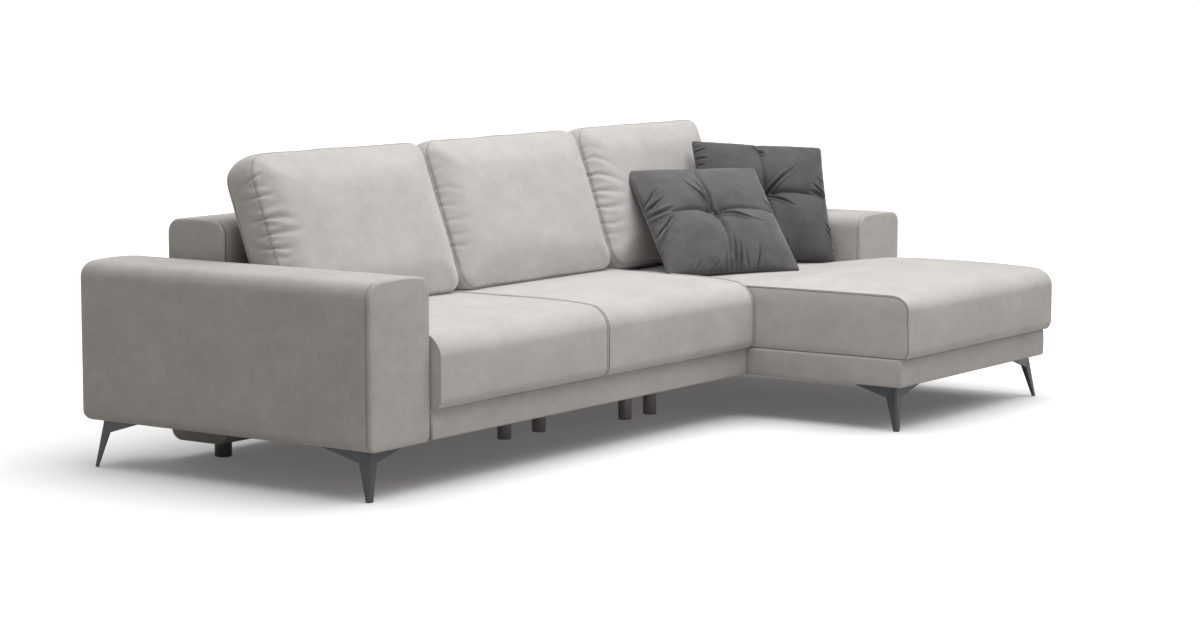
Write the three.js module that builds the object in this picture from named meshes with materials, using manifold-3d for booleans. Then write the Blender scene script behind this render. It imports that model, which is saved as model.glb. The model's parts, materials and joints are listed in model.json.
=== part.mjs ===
// A sectional sofa with a chaise on the right, as a scene graph of named solids.
// Millimetres. x runs left to right, y from the front of the arms to the rear, z up from the floor.
import * as THREE from "three";
import { mergeVertices } from "three/addons/utils/BufferGeometryUtils.js";
import Module from "manifold-3d";

const wasm = await Module();
wasm.setup();

// Clearances and cutting
const touch = 0.3; // between two pieces that touch
const sideGap = 3; // between soft pieces that stand side by side
const overrun = 20; // how far a cutting tool runs past what it cuts
const mergeTolerance = 1e-3;

// Arms. The front panel stands before the wrap, and both share one outline.
const arm = { width: 278, length: 1135, bottom: 146, top: 630, crown: 5, round: 46 };
arm.padding = 26;
arm.lip = 34;
arm.lipSkin = 9;
arm.crownPower = 2;
arm.cells = [2, 1, 1];
const armPanel = { depth: 15, frontRound: 12 };
const armFrame = { board: 18, ribs: 5, legBoard: 150, legBoardThickness: 26 };

// Seat and chaise bases. The skin is the padded cover on the outer side of the rails.
const base = { bottom: 150, top: 242, front: -5, skin: 8, lipWidth: 65, lipSkin: 6, underSkin: 3 };
const rails = { width: 42, crossHeight: 46, crossWidth: 36, crossGap: 250 };
rails.boardWidth = 210;
rails.boardThickness = 20;
const webbing = { strap: 62, thickness: 2, alongX: 3, alongY: 4, bearingWidth: 24 };
const dust = { thickness: 2 };

// Seats
const seat = { count: 2, pitch: 862, front: -35, edge: 456, crown: 16, cells: [6, 6, 1] };

// Seat and chaise cushions. The crown powers hold the crown full nearly to the seams.
const seatForms = { sideRound: 16, frontRound: 50, cover: 12, crownPowerX: 4, crownPowerY: 6 };
seatForms.innerCells = [2, 2, 1];

// Chaise. Its reach is measured forward from the front of the arms.
const chaise = { width: 1058, reach: 602, overhang: 24, cornerRound: 20, edge: 452, crown: 24 };
chaise.cells = [8, 10, 1];

// Back block, low and behind the cushions
const back = { front: 804, depth: 232, bottom: 58, top: 748, round: 40, padding: 24, endGap: 2, lip: 34 };
back.cells = [1, 1, 1];
const backFrame = { board: 18, ribs: 9, legBoard: 240, legBoardThickness: 26 };

// Back cushions. Gusset is the thickness at the seams, and the crowns swell from there.
const backCushion = { lean: 20, height: 520, gusset: 120, frontCrown: 40, rearCrown: 66 };
backCushion.standOff = 104; // from the back block's front to the top front seam
backCushion.seamLift = 2.4; // of the lower front seam above the seat's crown
backCushion.edgeRound = 26;
backCushion.cornerRound = 48;
backCushion.crownPower = 2.3;
backCushion.cover = 10;
backCushion.cells = [6, 1, 5];
backCushion.innerCells = [2, 1, 2];

// Scatter cushions, each with a centre tuft and four sewn channels
const scatter = { side: 480, thickness: 150, drawShare: 0.055, edgePower: 0.62, spread: 1.25 };
scatter.tuftShare = 0.5;
scatter.tuftReach = 62;
scatter.channelShare = 0.16;
scatter.channelReach = 15;
scatter.coverShare = 0.82;
scatter.coreShare = 0.795;
scatter.cells = 14;
scatter.innerCells = 6;
// Places of their middles: from the right arm, before the back block and above the chaise cushion.
// Turn is seen from above, tilt leans back and roll is in the cushion's plane, all in degrees.
const scatterPoses = {
  front: { armGap: 481, backGap: 476, height: 160.5, turn: -32.1, tilt: 48.3, roll: -0.2 },
  rear: { armGap: 130, backGap: 471, height: 207.2, turn: -40.4, tilt: 36.7, roll: -4.5 },
};

// Zip opening in the rear or the underside of a cushion's cover
const zip = { height: 8, seatLength: 480, lengthShare: 0.6, scatterHeight: 4 };

// Corner legs of folded sheet steel, measured from the module's corner along its edges
const leg = { footInset: 21, topInset: 42, footWidth: 24, notchRise: 107, notchReach: 82, wingReach: 200 };
leg.sheet = 5;
leg.flange = 96;

// Round feet
const backFoot = { diameter: 70, inset: 394, chamfer: 4 };
const seatFoot = { diameter: 46, chamfer: 3, rearY: 400, frontY: 315, rearInset: 220, rearPitch: 190 };
seatFoot.frontInset = 112;
seatFoot.frontPitch = 150;

// Bolts that join the modules
const bolt = { diameter: 8, length: 92, headDiameter: 20, headHeight: 5, clearance: 0.4, height: 212 };
bolt.front = 180;
bolt.rearGap = 114; // of the rear bolts from the back block's front
bolt.backInset = 242; // of the outer bolts into the back, from the arms

// Smoothness
const bendRows = 2; // rows of facets in half of a rounded edge
const roundSides = 20;
const boltSides = 10;
const innerRows = 1; // the same for pieces inside a cover

// Places that follow from the sizes above
const seatLeft = arm.width;
const seatRight = arm.width + seat.count * seat.pitch;
const sofaWidth = seatRight + chaise.width;
const rightArmLeft = sofaWidth - arm.width;
const seatRear = back.front - base.lipSkin;
const boltRear = back.front - bolt.rearGap;
const seatTop = seat.edge + seat.crown;
const chaiseTop = chaise.edge + chaise.crown;
const frameTop = base.top - base.lipSkin - touch;
const frameBottom = base.bottom + base.underSkin + touch;

// Colours of the finished pieces
const finishes = {
  fabric: { color: 0xbdb8b2, roughness: 0.95, metalness: 0 },
  cushionFabric: { color: 0xc4bfb9, roughness: 0.95, metalness: 0 },
  velvet: { color: 0x5f5c5e, roughness: 0.85, metalness: 0 },
  foam: { color: 0xe6dfc8, roughness: 1, metalness: 0 },
  timber: { color: 0xb08d62, roughness: 0.8, metalness: 0 },
  darkCloth: { color: 0x2a2a2b, roughness: 1, metalness: 0 },
  webbingCloth: { color: 0x3b3b3f, roughness: 0.95, metalness: 0 },
  felt: { color: 0x8a8884, roughness: 1, metalness: 0 },
  legMetal: { color: 0x34363a, roughness: 0.45, metalness: 0.7 },
  footPlastic: { color: 0x151515, roughness: 0.6, metalness: 0 },
  zincSteel: { color: 0xa9adb2, roughness: 0.35, metalness: 1 },
};

// Turns a closed geometry into a solid that can be cut and joined.
function solid(geometry) {
  geometry.deleteAttribute("normal");
  geometry.deleteAttribute("uv");
  const merged = mergeVertices(geometry, mergeTolerance);
  return new wasm.Manifold(
    new wasm.Mesh({
      numProp: 3,
      vertProperties: merged.getAttribute("position").array,
      triVerts: new Uint32Array(merged.index.array),
    }),
  );
}

function joined(first, ...others) {
  return others.reduce((whole, other) => whole.add(other), first);
}

function cut(first, ...tools) {
  return tools.reduce((whole, tool) => whole.subtract(tool), first);
}

function part(name, shape, finish) {
  const made = shape.getMesh();
  const geometry = new THREE.BufferGeometry();
  geometry.setAttribute("position", new THREE.BufferAttribute(made.vertProperties, made.numProp));
  geometry.setIndex(new THREE.BufferAttribute(made.triVerts, 1));
  geometry.computeVertexNormals();
  const material = new THREE.MeshStandardMaterial({ ...finishes[finish], flatShading: true });
  const mesh = new THREE.Mesh(geometry, material);
  mesh.name = name;
  return mesh;
}

function group(...children) {
  const made = new THREE.Group();
  made.add(...children);
  return made;
}

// A block between two corners, each given as [x, y, z].
function block(low, high) {
  const [width, depth, height] = high.map((value, axis) => value - low[axis]);
  const [x, y, z] = high.map((value, axis) => (value + low[axis]) / 2);
  return solid(new THREE.BoxGeometry(width, depth, height).translate(x, y, z));
}

// Grid lines across a soft block: rows that bend round each edge, and flat cells between them.
function gridLines(half, round, cells, rows) {
  const flat = half - round;
  const bend = [];
  for (let row = 1; row <= rows; row += 1) {
    bend.push(flat + round * Math.tan(((row / rows) * Math.PI) / 4));
  }
  const inner = [];
  for (let cell = 0; cell <= cells; cell += 1) {
    inner.push(flat * ((2 * cell) / cells - 1));
  }
  return [...bend.map((line) => -line).reverse(), ...inner, ...bend];
}

// A block with rounded edges about the origin, with a radius and a count of cells for each axis.
// The form function then moves each point, which it gets with its shares of the half sizes.
function softBlock(size, round, cells, rows, form = () => {}) {
  const lines = size.map((length, axis) => gridLines(length / 2, round[axis], cells[axis], rows));
  const counts = lines.map((line) => line.length - 1);
  const geometry = new THREE.BoxGeometry(1, 1, 1, ...counts);
  const places = geometry.getAttribute("position");
  for (let index = 0; index < places.count; index += 1) {
    const raw = [places.getX(index), places.getY(index), places.getZ(index)];
    const onGrid = raw.map((value, axis) => lines[axis][Math.round((value + 1 / 2) * counts[axis])]);
    const flats = size.map((length, axis) => length / 2 - round[axis]);
    const inner = onGrid.map((value, axis) => THREE.MathUtils.clamp(value, -flats[axis], flats[axis]));
    const offset = onGrid.map((value, axis) => (value - inner[axis]) / round[axis]);
    const reach = Math.hypot(...offset);
    const [x, y, z] = inner.map((value, axis) => value + (round[axis] * offset[axis]) / reach);
    const point = new THREE.Vector3(x, y, z);
    form(point, { x: (2 * x) / size[0], y: (2 * y) / size[1], z: (2 * z) / size[2] });
    places.setXYZ(index, point.x, point.y, point.z);
  }
  return geometry;
}

// How full a crown is at a share of the half size: one in the middle, nothing at the seam.
function fullness(share, power) {
  return Math.max(0, 1 - Math.abs(share) ** power);
}

// Bolts lie along x or y, with the head at the low end.
function boltShape() {
  const shaft = bolt.diameter / 2;
  const head = bolt.headDiameter / 2;
  const outline = [
    [0, 0],
    [head, 0],
    [head, bolt.headHeight],
    [shaft, bolt.headHeight],
    [shaft, bolt.headHeight + bolt.length],
    [0, bolt.headHeight + bolt.length],
  ];
  return turnedAbout(outline, boltSides);
}

// A solid of revolution from its outline, given as [radius, height].
function turnedAbout(outline, sides) {
  return new THREE.LatheGeometry(outline.map(([radius, height]) => new THREE.Vector2(radius, height)), sides);
}

function boltAlongX(x, y) {
  return solid(boltShape().rotateZ(-Math.PI / 2).translate(x, y, bolt.height));
}

function boltAlongY(x, y) {
  return solid(boltShape().translate(x, y, bolt.height));
}

// The hole for a bolt: a clearance round its shaft, and room for its head on the near side.
function boltHole(x, y, alongX) {
  const shaft = bolt.diameter / 2 + bolt.clearance;
  const head = bolt.headDiameter / 2 + bolt.clearance;
  const reach = bolt.headHeight + bolt.length + bolt.clearance;
  const outline = [
    [0, -overrun],
    [head, -overrun],
    [head, bolt.headHeight + touch],
    [shaft, bolt.headHeight + touch],
    [shaft, reach],
    [0, reach],
  ];
  const geometry = turnedAbout(outline, boltSides);
  if (alongX) geometry.rotateZ(-Math.PI / 2);
  return solid(geometry.translate(x, y, bolt.height));
}

// A box of boards round a run of ribs, open at the bottom, with a board at each end for the legs.
// The corners are given as [across, along, z], and place turns them into [x, y, z].
function ribbedFrame(low, high, frame, place) {
  const [across0, along0, z0] = low;
  const [across1, along1, z1] = high;
  const { board, ribs, legBoard, legBoardThickness } = frame;
  const wall = (from, to) => block(place(from), place(to));
  const walls = [
    wall([across0, along0, z0], [across0 + board, along1, z1]),
    wall([across1 - board, along0, z0], [across1, along1, z1]),
    wall([across0, along0, z1 - board], [across1, along1, z1]),
    wall([across0, along0, z0], [across1, along0 + legBoard, z0 + legBoardThickness]),
    wall([across0, along1 - legBoard, z0], [across1, along1, z0 + legBoardThickness]),
  ];
  for (let rib = 0; rib < ribs; rib += 1) {
    const start = along0 + ((along1 - along0 - board) * rib) / (ribs - 1);
    walls.push(wall([across0, start, z0], [across1, start + board, z1]));
  }
  return joined(...walls);
}

// A flat sheet that lies in the bottom opening of an arm or the back.
function dustSheet(low, high, top) {
  return block([...low, top - dust.thickness], [...high, top]);
}

// Arms, drawn as the left one, whose inner side is at x = arm.width. The right one is its mirror.
function armOutline(round) {
  const shape = new THREE.Shape();
  const low = arm.bottom;
  const high = arm.top;
  const right = arm.width;
  shape.moveTo(round, low);
  shape.lineTo(right - round, low);
  shape.absarc(right - round, low + round, round, -Math.PI / 2, 0, false);
  shape.absarc(right - round, high - round, round, 0, Math.PI / 2, false);
  shape.absarc(round, high - round, round, Math.PI / 2, Math.PI, false);
  shape.absarc(round, low + round, round, Math.PI, 1.5 * Math.PI, false);
  return shape;
}

function armFrontPanel() {
  const bevel = armPanel.frontRound;
  const geometry = new THREE.ExtrudeGeometry(armOutline(arm.round), {
    depth: armPanel.depth - bevel,
    curveSegments: 2 * bendRows,
    bevelSize: bevel,
    bevelOffset: -bevel,
    bevelThickness: bevel,
    bevelSegments: bendRows,
  });
  const shape = solid(geometry.rotateX(Math.PI / 2).translate(0, armPanel.depth, 0));
  const rearCut = block([-overrun, armPanel.depth, 0], [arm.width + overrun, arm.length, arm.top + overrun]);
  return cut(shape, rearCut);
}

function armCover(holes) {
  const spare = arm.round;
  const length = arm.length + spare;
  const height = arm.top - arm.bottom;
  const outer = softBlock(
    [arm.width, length, height],
    [arm.round, arm.round, arm.round],
    arm.cells,
    bendRows,
    (point, share) => {
      if (share.z > 0) point.z += arm.crown * fullness(share.x, arm.crownPower);
    },
  ).translate(arm.width / 2, length / 2 - spare, arm.bottom + height / 2);
  const wall = arm.padding;
  const mouth = arm.padding + arm.lip;
  return cut(
    solid(outer),
    block([-overrun, -spare - overrun, 0], [arm.width + overrun, armPanel.depth + touch, arm.top + overrun]),
    block([wall, -spare, arm.bottom + arm.lipSkin], [arm.width - wall, arm.length - wall, arm.top - wall]),
    block([mouth, -spare, arm.bottom - overrun], [arm.width - mouth, arm.length - mouth, arm.top - wall]),
    ...holes,
  );
}

function armInside(holes) {
  const wall = arm.padding + touch;
  const low = [wall, armPanel.depth + touch, arm.bottom + arm.lipSkin + touch];
  const high = [arm.width - wall, arm.length - wall, arm.top - wall];
  return cut(ribbedFrame(low, high, armFrame, (corner) => corner), ...holes);
}

function armDustSheet() {
  const mouth = arm.padding + arm.lip + touch;
  const low = [mouth, armPanel.depth + touch];
  return dustSheet(low, [arm.width - mouth, arm.length - mouth], arm.bottom + arm.lipSkin);
}

function makeArm(side) {
  const holes = [bolt.front, boltRear].map((y) => armBoltHole(arm.width, y));
  return group(
    part(`${side}_arm_cover`, armCover(holes), "fabric"),
    part(`${side}_arm_front_panel`, armFrontPanel(), "fabric"),
    part(`${side}_arm_frame`, armInside(holes), "timber"),
    part(`${side}_arm_dust_cover`, armDustSheet(), "darkCloth"),
  );
}

// The hole for a bolt through the inner side of an arm, whose inner face is at innerSide.
function armBoltHole(innerSide, y) {
  const shaft = bolt.diameter / 2 + bolt.clearance;
  const length = bolt.length + 2 * overrun;
  const geometry = new THREE.CylinderGeometry(shaft, shaft, length, boltSides);
  return solid(geometry.rotateZ(Math.PI / 2).translate(innerSide, y, bolt.height));
}

// Four rails round a rectangle of a base.
function railBox(x0, x1, y0, y1) {
  const outer = block([x0, y0, frameBottom], [x1, y1, frameTop]);
  const inner = block(
    [x0 + rails.width, y0 + rails.width, frameBottom - overrun],
    [x1 - rails.width, y1 - rails.width, frameTop + overrun],
  );
  return cut(outer, inner);
}

// Low cross rails along y, evenly spread so that no gap is wider than rails.crossGap.
function crossRails(x0, x1, y0, y1) {
  const count = Math.ceil((x1 - x0) / (rails.crossGap + rails.crossWidth));
  const pitch = (x1 - x0) / count;
  const made = [];
  for (let rail = 1; rail < count; rail += 1) {
    const middle = x0 + rail * pitch;
    const half = rails.crossWidth / 2;
    made.push(block([middle - half, y0, frameBottom], [middle + half, y1, frameBottom + rails.crossHeight]));
  }
  return made;
}

// A mat of straps, woven in one layer, that bears on the rails round it.
function webbingMat(x0, x1, y0, y1) {
  const low = frameTop + touch;
  const high = low + webbing.thickness;
  const straps = [];
  for (let strap = 0; strap < webbing.alongY; strap += 1) {
    const start = x0 + ((x1 - x0 - webbing.strap) * (strap + 1 / 2)) / webbing.alongY;
    straps.push(block([start, y0, low], [start + webbing.strap, y1, high]));
  }
  for (let strap = 0; strap < webbing.alongX; strap += 1) {
    const start = y0 + ((y1 - y0 - webbing.strap) * (strap + 1 / 2)) / webbing.alongX;
    straps.push(block([x0, start, low], [x1, start + webbing.strap, high]));
  }
  return joined(...straps);
}

// Seat base, between the left arm and the chaise
const seatFrame = {
  left: seatLeft + touch,
  right: seatRight - touch,
  front: base.front + base.skin + touch,
  rear: seatRear,
};

function seatFrameShape() {
  const { left, right, front, rear } = seatFrame;
  const divider = seatLeft + (seatRight - seatLeft) / seat.count;
  const boardMiddle = (seatFoot.rearY + seatFoot.frontY) / 2;
  const boardFront = boardMiddle - rails.boardWidth / 2;
  const boardTop = frameBottom + rails.boardThickness;
  const railsAndBoards = joined(
    railBox(left, right, front, rear),
    block([divider - rails.width / 2, front, frameBottom], [divider + rails.width / 2, rear, frameTop]),
    block([left, boardFront, frameBottom], [right, boardFront + rails.boardWidth, boardTop]),
    ...crossRails(left, divider, front, rear),
    ...crossRails(divider, right, front, rear),
  );
  const holes = [bolt.front, boltRear].flatMap((y) => [
    armBoltHole(seatLeft, y),
    boltHole(moduleBoltX, y, true),
  ]);
  return cut(railsAndBoards, ...holes, ...backBoltHoles());
}

// Heads of the bolts between the modules sit inside the rail they start from.
const moduleBoltX = seatRight - touch - rails.width - bolt.headHeight;

function backBoltPlaces() {
  const headY = seatRear - rails.width - bolt.headHeight - touch;
  const places = [seatLeft + bolt.backInset, seatLeft + seat.pitch, rightArmLeft - bolt.backInset];
  return places.map((x) => [x, headY]);
}

function backBoltHoles() {
  return backBoltPlaces().map(([x, y]) => boltHole(x, y, false));
}

// A padded band along a rail: a front, a lip over the rail and a narrower one under it.
function frontRailCover() {
  const low = [seatLeft + touch, base.front, base.bottom];
  const high = [seatRight - touch, base.front + base.lipWidth, base.top];
  const inner = block(
    [seatLeft - overrun, base.front + base.skin, base.bottom + base.underSkin],
    [seatRight + overrun, base.front + base.lipWidth + overrun, base.top - base.lipSkin],
  );
  return cut(block(low, high), inner);
}

function seatDeck() {
  const low = frameTop + webbing.thickness + 2 * touch;
  const front = base.front + base.lipWidth + touch;
  return block([seatLeft + touch, front, low], [seatRight - touch, seatRear, base.top]);
}

function seatDustCover() {
  const front = base.front + base.lipWidth + touch;
  const low = [seatLeft + arm.round, front, base.bottom];
  return block(low, [seatRight - touch, seatRear, base.bottom + base.underSkin]);
}

function seatWebbing(index) {
  const start = seatLeft + index * seat.pitch;
  const outer = rails.width - webbing.bearingWidth;
  const inner = (rails.width - webbing.bearingWidth) / 2;
  const left = start + (index === 0 ? outer : inner);
  const right = start + seat.pitch - (index === seat.count - 1 ? outer : inner);
  return webbingMat(left, right, base.front + base.lipWidth + touch, seatRear - outer);
}

function makeSeatBase() {
  const made = group(
    part("seat_frame", seatFrameShape(), "timber"),
    part("seat_front_rail_cover", frontRailCover(), "fabric"),
    part("seat_deck", seatDeck(), "felt"),
    part("seat_dust_cover", seatDustCover(), "darkCloth"),
  );
  for (let index = 0; index < seat.count; index += 1) {
    made.add(part(`seat_webbing_${index + 1}`, seatWebbing(index), "webbingCloth"));
  }
  return made;
}

// Chaise base: full width before the right arm, narrower beside it
const chaiseFrame = {
  left: seatRight + touch,
  right: rightArmLeft - touch,
  wideRight: sofaWidth - base.skin - touch,
  front: -chaise.reach + base.skin + touch,
  step: -base.skin - 2 * touch,
  rear: seatRear,
};
chaiseFrame.leftFront = seatRight + base.skin + 2 * touch;

function chaiseRails() {
  const { left, right, wideRight, front, step, rear, leftFront } = chaiseFrame;
  const middle = front + (step - front) / 2;
  const crossTop = frameBottom + rails.crossHeight;
  const rounded = prism(chaiseOutline(base.skin + touch), frameBottom, frameTop);
  const frontBox = railBox(leftFront, wideRight, front, step).intersect(rounded);
  const rearBox = railBox(leftFront, right, step - rails.width, rear);
  const boards = joined(
    frontBox,
    rearBox,
    block([leftFront, middle, frameBottom], [wideRight, middle + rails.crossWidth, crossTop]),
    ...crossRails(leftFront, right, step - rails.width, rear),
    ...crossRails(leftFront, wideRight, front, step),
  );
  const side = block([left, base.front + base.lipWidth, frameBottom], [leftFront + rails.width, rear, frameTop]);
  const holes = [bolt.front, boltRear].flatMap((y) => [
    boltHole(moduleBoltX, y, true),
    armBoltHole(rightArmLeft, y),
  ]);
  return cut(joined(boards, side), ...holes, ...backBoltHoles());
}

// Outline of the chaise base seen from above, inset from its outer faces.
function chaiseOutline(inset) {
  const round = Math.max(chaise.cornerRound - inset, touch);
  const left = seatRight + touch + inset;
  const right = sofaWidth - inset;
  const front = -chaise.reach + inset;
  const rear = -touch - inset;
  const shape = new THREE.Shape();
  shape.moveTo(left, front);
  shape.lineTo(right - round, front);
  shape.absarc(right - round, front + round, round, -Math.PI / 2, 0, false);
  shape.lineTo(right, rear);
  shape.lineTo(left, rear);
  return shape;
}

function prism(shape, low, high) {
  const settings = { depth: high - low, bevelEnabled: false, curveSegments: 2 * bendRows };
  return solid(new THREE.ExtrudeGeometry(shape, settings).translate(0, 0, low));
}

function chaiseBaseCover() {
  const shell = cut(
    prism(chaiseOutline(0), base.bottom, base.top),
    prism(chaiseOutline(base.skin), base.bottom + base.underSkin, base.top - base.lipSkin),
    prism(chaiseOutline(base.lipWidth), base.bottom - overrun, base.top + overrun),
  );
  // The band stops behind the seat's front rail on the left, and the frame runs on to the rear there.
  const passage = block(
    [seatRight + base.skin + touch, -base.lipWidth - overrun, base.bottom - overrun],
    [rightArmLeft, overrun, base.top + overrun],
  );
  return cut(shell, passage);
}

// A flat layer in the shape of an L: wide before the right arm, and beside it as far as rightSide.
function chaiseLayer(low, high, rightSide) {
  const inset = base.lipWidth + touch;
  const corner = [seatRight + inset, -chaise.reach + inset, low];
  const wide = block(corner, [sofaWidth - inset, -inset, high]);
  return joined(wide, block(corner, [rightSide, seatRear, high]));
}

function chaiseDeck() {
  return chaiseLayer(frameTop + webbing.thickness + 2 * touch, base.top, rightArmLeft - touch);
}

function chaiseDustCover() {
  return chaiseLayer(base.bottom, base.bottom + base.underSkin, rightArmLeft - arm.round);
}

function chaiseWebbing() {
  const inset = base.lipWidth + touch;
  const inward = rails.width - webbing.bearingWidth;
  return webbingMat(seatRight + inset, rightArmLeft - inward, -chaise.reach + inset, seatRear - inward);
}

function makeChaiseBase() {
  return group(
    part("chaise_frame", chaiseRails(), "timber"),
    part("chaise_base_cover", chaiseBaseCover(), "fabric"),
    part("chaise_deck", chaiseDeck(), "felt"),
    part("chaise_dust_cover", chaiseDustCover(), "darkCloth"),
    part("chaise_webbing", chaiseWebbing(), "webbingCloth"),
  );
}

// Back block, between the arms
const backLeft = seatLeft + back.endGap;
const backRight = rightArmLeft - back.endGap;

function backCover() {
  const size = [backRight - backLeft, back.depth, back.top - back.bottom];
  const outer = softBlock(size, [back.round, back.round, back.round], back.cells, bendRows);
  const middle = [(backLeft + backRight) / 2, back.front + back.depth / 2, (back.top + back.bottom) / 2];
  const rear = back.front + back.depth;
  const top = back.top - back.padding;
  const room = (inset, bottom) => {
    return block([backLeft + inset, back.front + inset, bottom], [backRight - inset, rear - inset, top]);
  };
  return cut(
    solid(outer.translate(...middle)),
    room(back.padding, back.bottom + arm.lipSkin),
    room(back.padding + back.lip, back.bottom - overrun),
    ...backBoltHoles(),
  );
}

function backInside() {
  const wall = back.padding + touch;
  const low = [back.front + wall, backLeft + wall, back.bottom + arm.lipSkin + touch];
  const high = [back.front + back.depth - wall, backRight - wall, back.top - wall];
  const boards = ribbedFrame(low, high, backFrame, ([across, along, z]) => [along, across, z]);
  return cut(boards, ...backBoltHoles());
}

function makeBack() {
  const mouth = back.padding + back.lip + touch;
  const low = [backLeft + mouth, back.front + mouth];
  const high = [backRight - mouth, back.front + back.depth - mouth];
  return group(
    part("back_cover", backCover(), "fabric"),
    part("back_frame", backInside(), "timber"),
    part("back_dust_cover", dustSheet(low, high, back.bottom + arm.lipSkin), "darkCloth"),
  );
}

// A seat or chaise cushion between two corners. Its crown is full over most of the top.
function seatForm(low, high, crown, cells, shrink, rows) {
  const size = high.map((value, axis) => value - low[axis] - 2 * shrink);
  const { sideRound, frontRound, crownPowerX, crownPowerY } = seatForms;
  const round = [sideRound, frontRound, frontRound].map((radius) => Math.max(radius - shrink, touch));
  const form = (point, share) => {
    if (share.z > 0) point.z += crown * fullness(share.x, crownPowerX) * fullness(share.y, crownPowerY);
  };
  const middle = high.map((value, axis) => (value + low[axis]) / 2);
  return solid(softBlock(size, round, cells, rows, form).translate(...middle));
}

// Cover and core of one seat cushion. The zip opens the cover at the rear.
function seatCushion(name, low, high, crown, cells, trims) {
  const gap = seatForms.cover;
  const inner = (shrink) => {
    return cut(seatForm(low, high, crown, seatForms.innerCells, shrink, innerRows), ...trims(shrink));
  };
  const outer = cut(seatForm(low, high, crown, cells, 0, bendRows), ...trims(0));
  const hollow = inner(gap);
  const core = inner(gap + touch);
  const middleX = low[0] + seat.pitch / 2;
  const middleZ = (low[2] + high[2]) / 2;
  const halfZip = zip.seatLength / 2;
  const slot = block(
    [middleX - halfZip, high[1] - gap - touch, middleZ - zip.height / 2],
    [middleX + halfZip, high[1] + overrun, middleZ + zip.height / 2],
  );
  return group(
    part(`${name}_cover`, cut(outer, hollow, slot), "cushionFabric"),
    part(`${name}_core`, core, "foam"),
  );
}

function seatCorners(index) {
  const left = seatLeft + index * seat.pitch + sideGap / 2;
  const low = [left, seat.front, base.top + touch];
  const high = [left + seat.pitch - sideGap, back.front - sideGap, seat.edge];
  return { low, high };
}

function chaiseCorners() {
  const low = [seatRight + sideGap / 2, -chaise.reach - chaise.overhang, base.top + touch];
  const high = [sofaWidth, back.front - sideGap, chaise.edge];
  return { low, high };
}

function makeSeatCushion(index) {
  const { low, high } = seatCorners(index);
  return seatCushion(`seat_cushion_${index + 1}`, low, high, seat.crown, seat.cells, () => []);
}

function makeChaiseCushion() {
  const { low, high } = chaiseCorners();
  // Room for the arm, wider for the pieces inside the cover
  const trims = (inset) => [
    block(
      [rightArmLeft - sideGap - inset, -sideGap - inset, 0],
      [sofaWidth + overrun, back.front + overrun, chaiseTop + overrun],
    ),
  ];
  return seatCushion("chaise_cushion", low, high, chaise.crown, chaise.cells, trims);
}

// A back cushion about its own middle: x across, y through its thickness, z along its lean.
function backForm(width, cells, shrink, rows) {
  const size = [width, backCushion.gusset, backCushion.height].map((length) => length - 2 * shrink);
  const round = [backCushion.cornerRound, backCushion.edgeRound, backCushion.cornerRound];
  const form = (point, share) => {
    const full = fullness(share.x, backCushion.crownPower) * fullness(share.z, backCushion.crownPower);
    const crown = share.y < 0 ? backCushion.frontCrown : backCushion.rearCrown;
    point.y += crown * share.y * full;
  };
  const lean = THREE.MathUtils.degToRad(backCushion.lean);
  const up = new THREE.Vector3(0, Math.sin(lean), Math.cos(lean));
  const rearward = new THREE.Vector3(0, Math.cos(lean), -Math.sin(lean));
  const rise = backCushion.height * Math.cos(lean) + backCushion.seamLift;
  const middle = new THREE.Vector3(0, back.front - backCushion.standOff, seatTop + rise)
    .addScaledVector(up, -backCushion.height / 2)
    .addScaledVector(rearward, backCushion.gusset / 2);
  const inset = round.map((radius) => radius - shrink);
  return softBlock(size, inset, cells, rows, form).rotateX(-lean).translate(0, middle.y, middle.z);
}

// A back cushion between two side planes. It sits on the seat cushion below it, whose crown it takes.
function makeBackCushion(name, left, right, below, lift) {
  const width = right - left - sideGap;
  const middle = (left + right) / 2;
  const rest = seatTop + lift;
  const formed = (cells, shrink, rows, clear) => {
    const floorTop = (base.top + seat.edge) / 2;
    const floor = block([left - overrun, 0, 0], [right + overrun, back.front + back.depth, floorTop]);
    const shape = solid(backForm(width, cells, shrink, rows).translate(middle, 0, lift));
    return cut(shape, below.translate([0, 0, clear]), floor);
  };
  const gap = backCushion.cover;
  const { cells, innerCells } = backCushion;
  const outer = formed(cells, 0, bendRows, touch);
  const hollow = formed(innerCells, gap, innerRows, gap);
  const core = formed(innerCells, gap + touch, innerRows, gap + touch);
  const halfZip = (width * zip.lengthShare) / 2;
  const slotMiddle = back.front - backCushion.standOff - backCushion.gusset / 2;
  const slot = block(
    [middle - halfZip, slotMiddle - zip.height / 2, rest - overrun],
    [middle + halfZip, slotMiddle + zip.height / 2, rest + gap + 2 * touch],
  );
  return group(
    part(`${name}_cover`, cut(outer, hollow, slot), "cushionFabric"),
    part(`${name}_core`, core, "foam"),
  );
}

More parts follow.
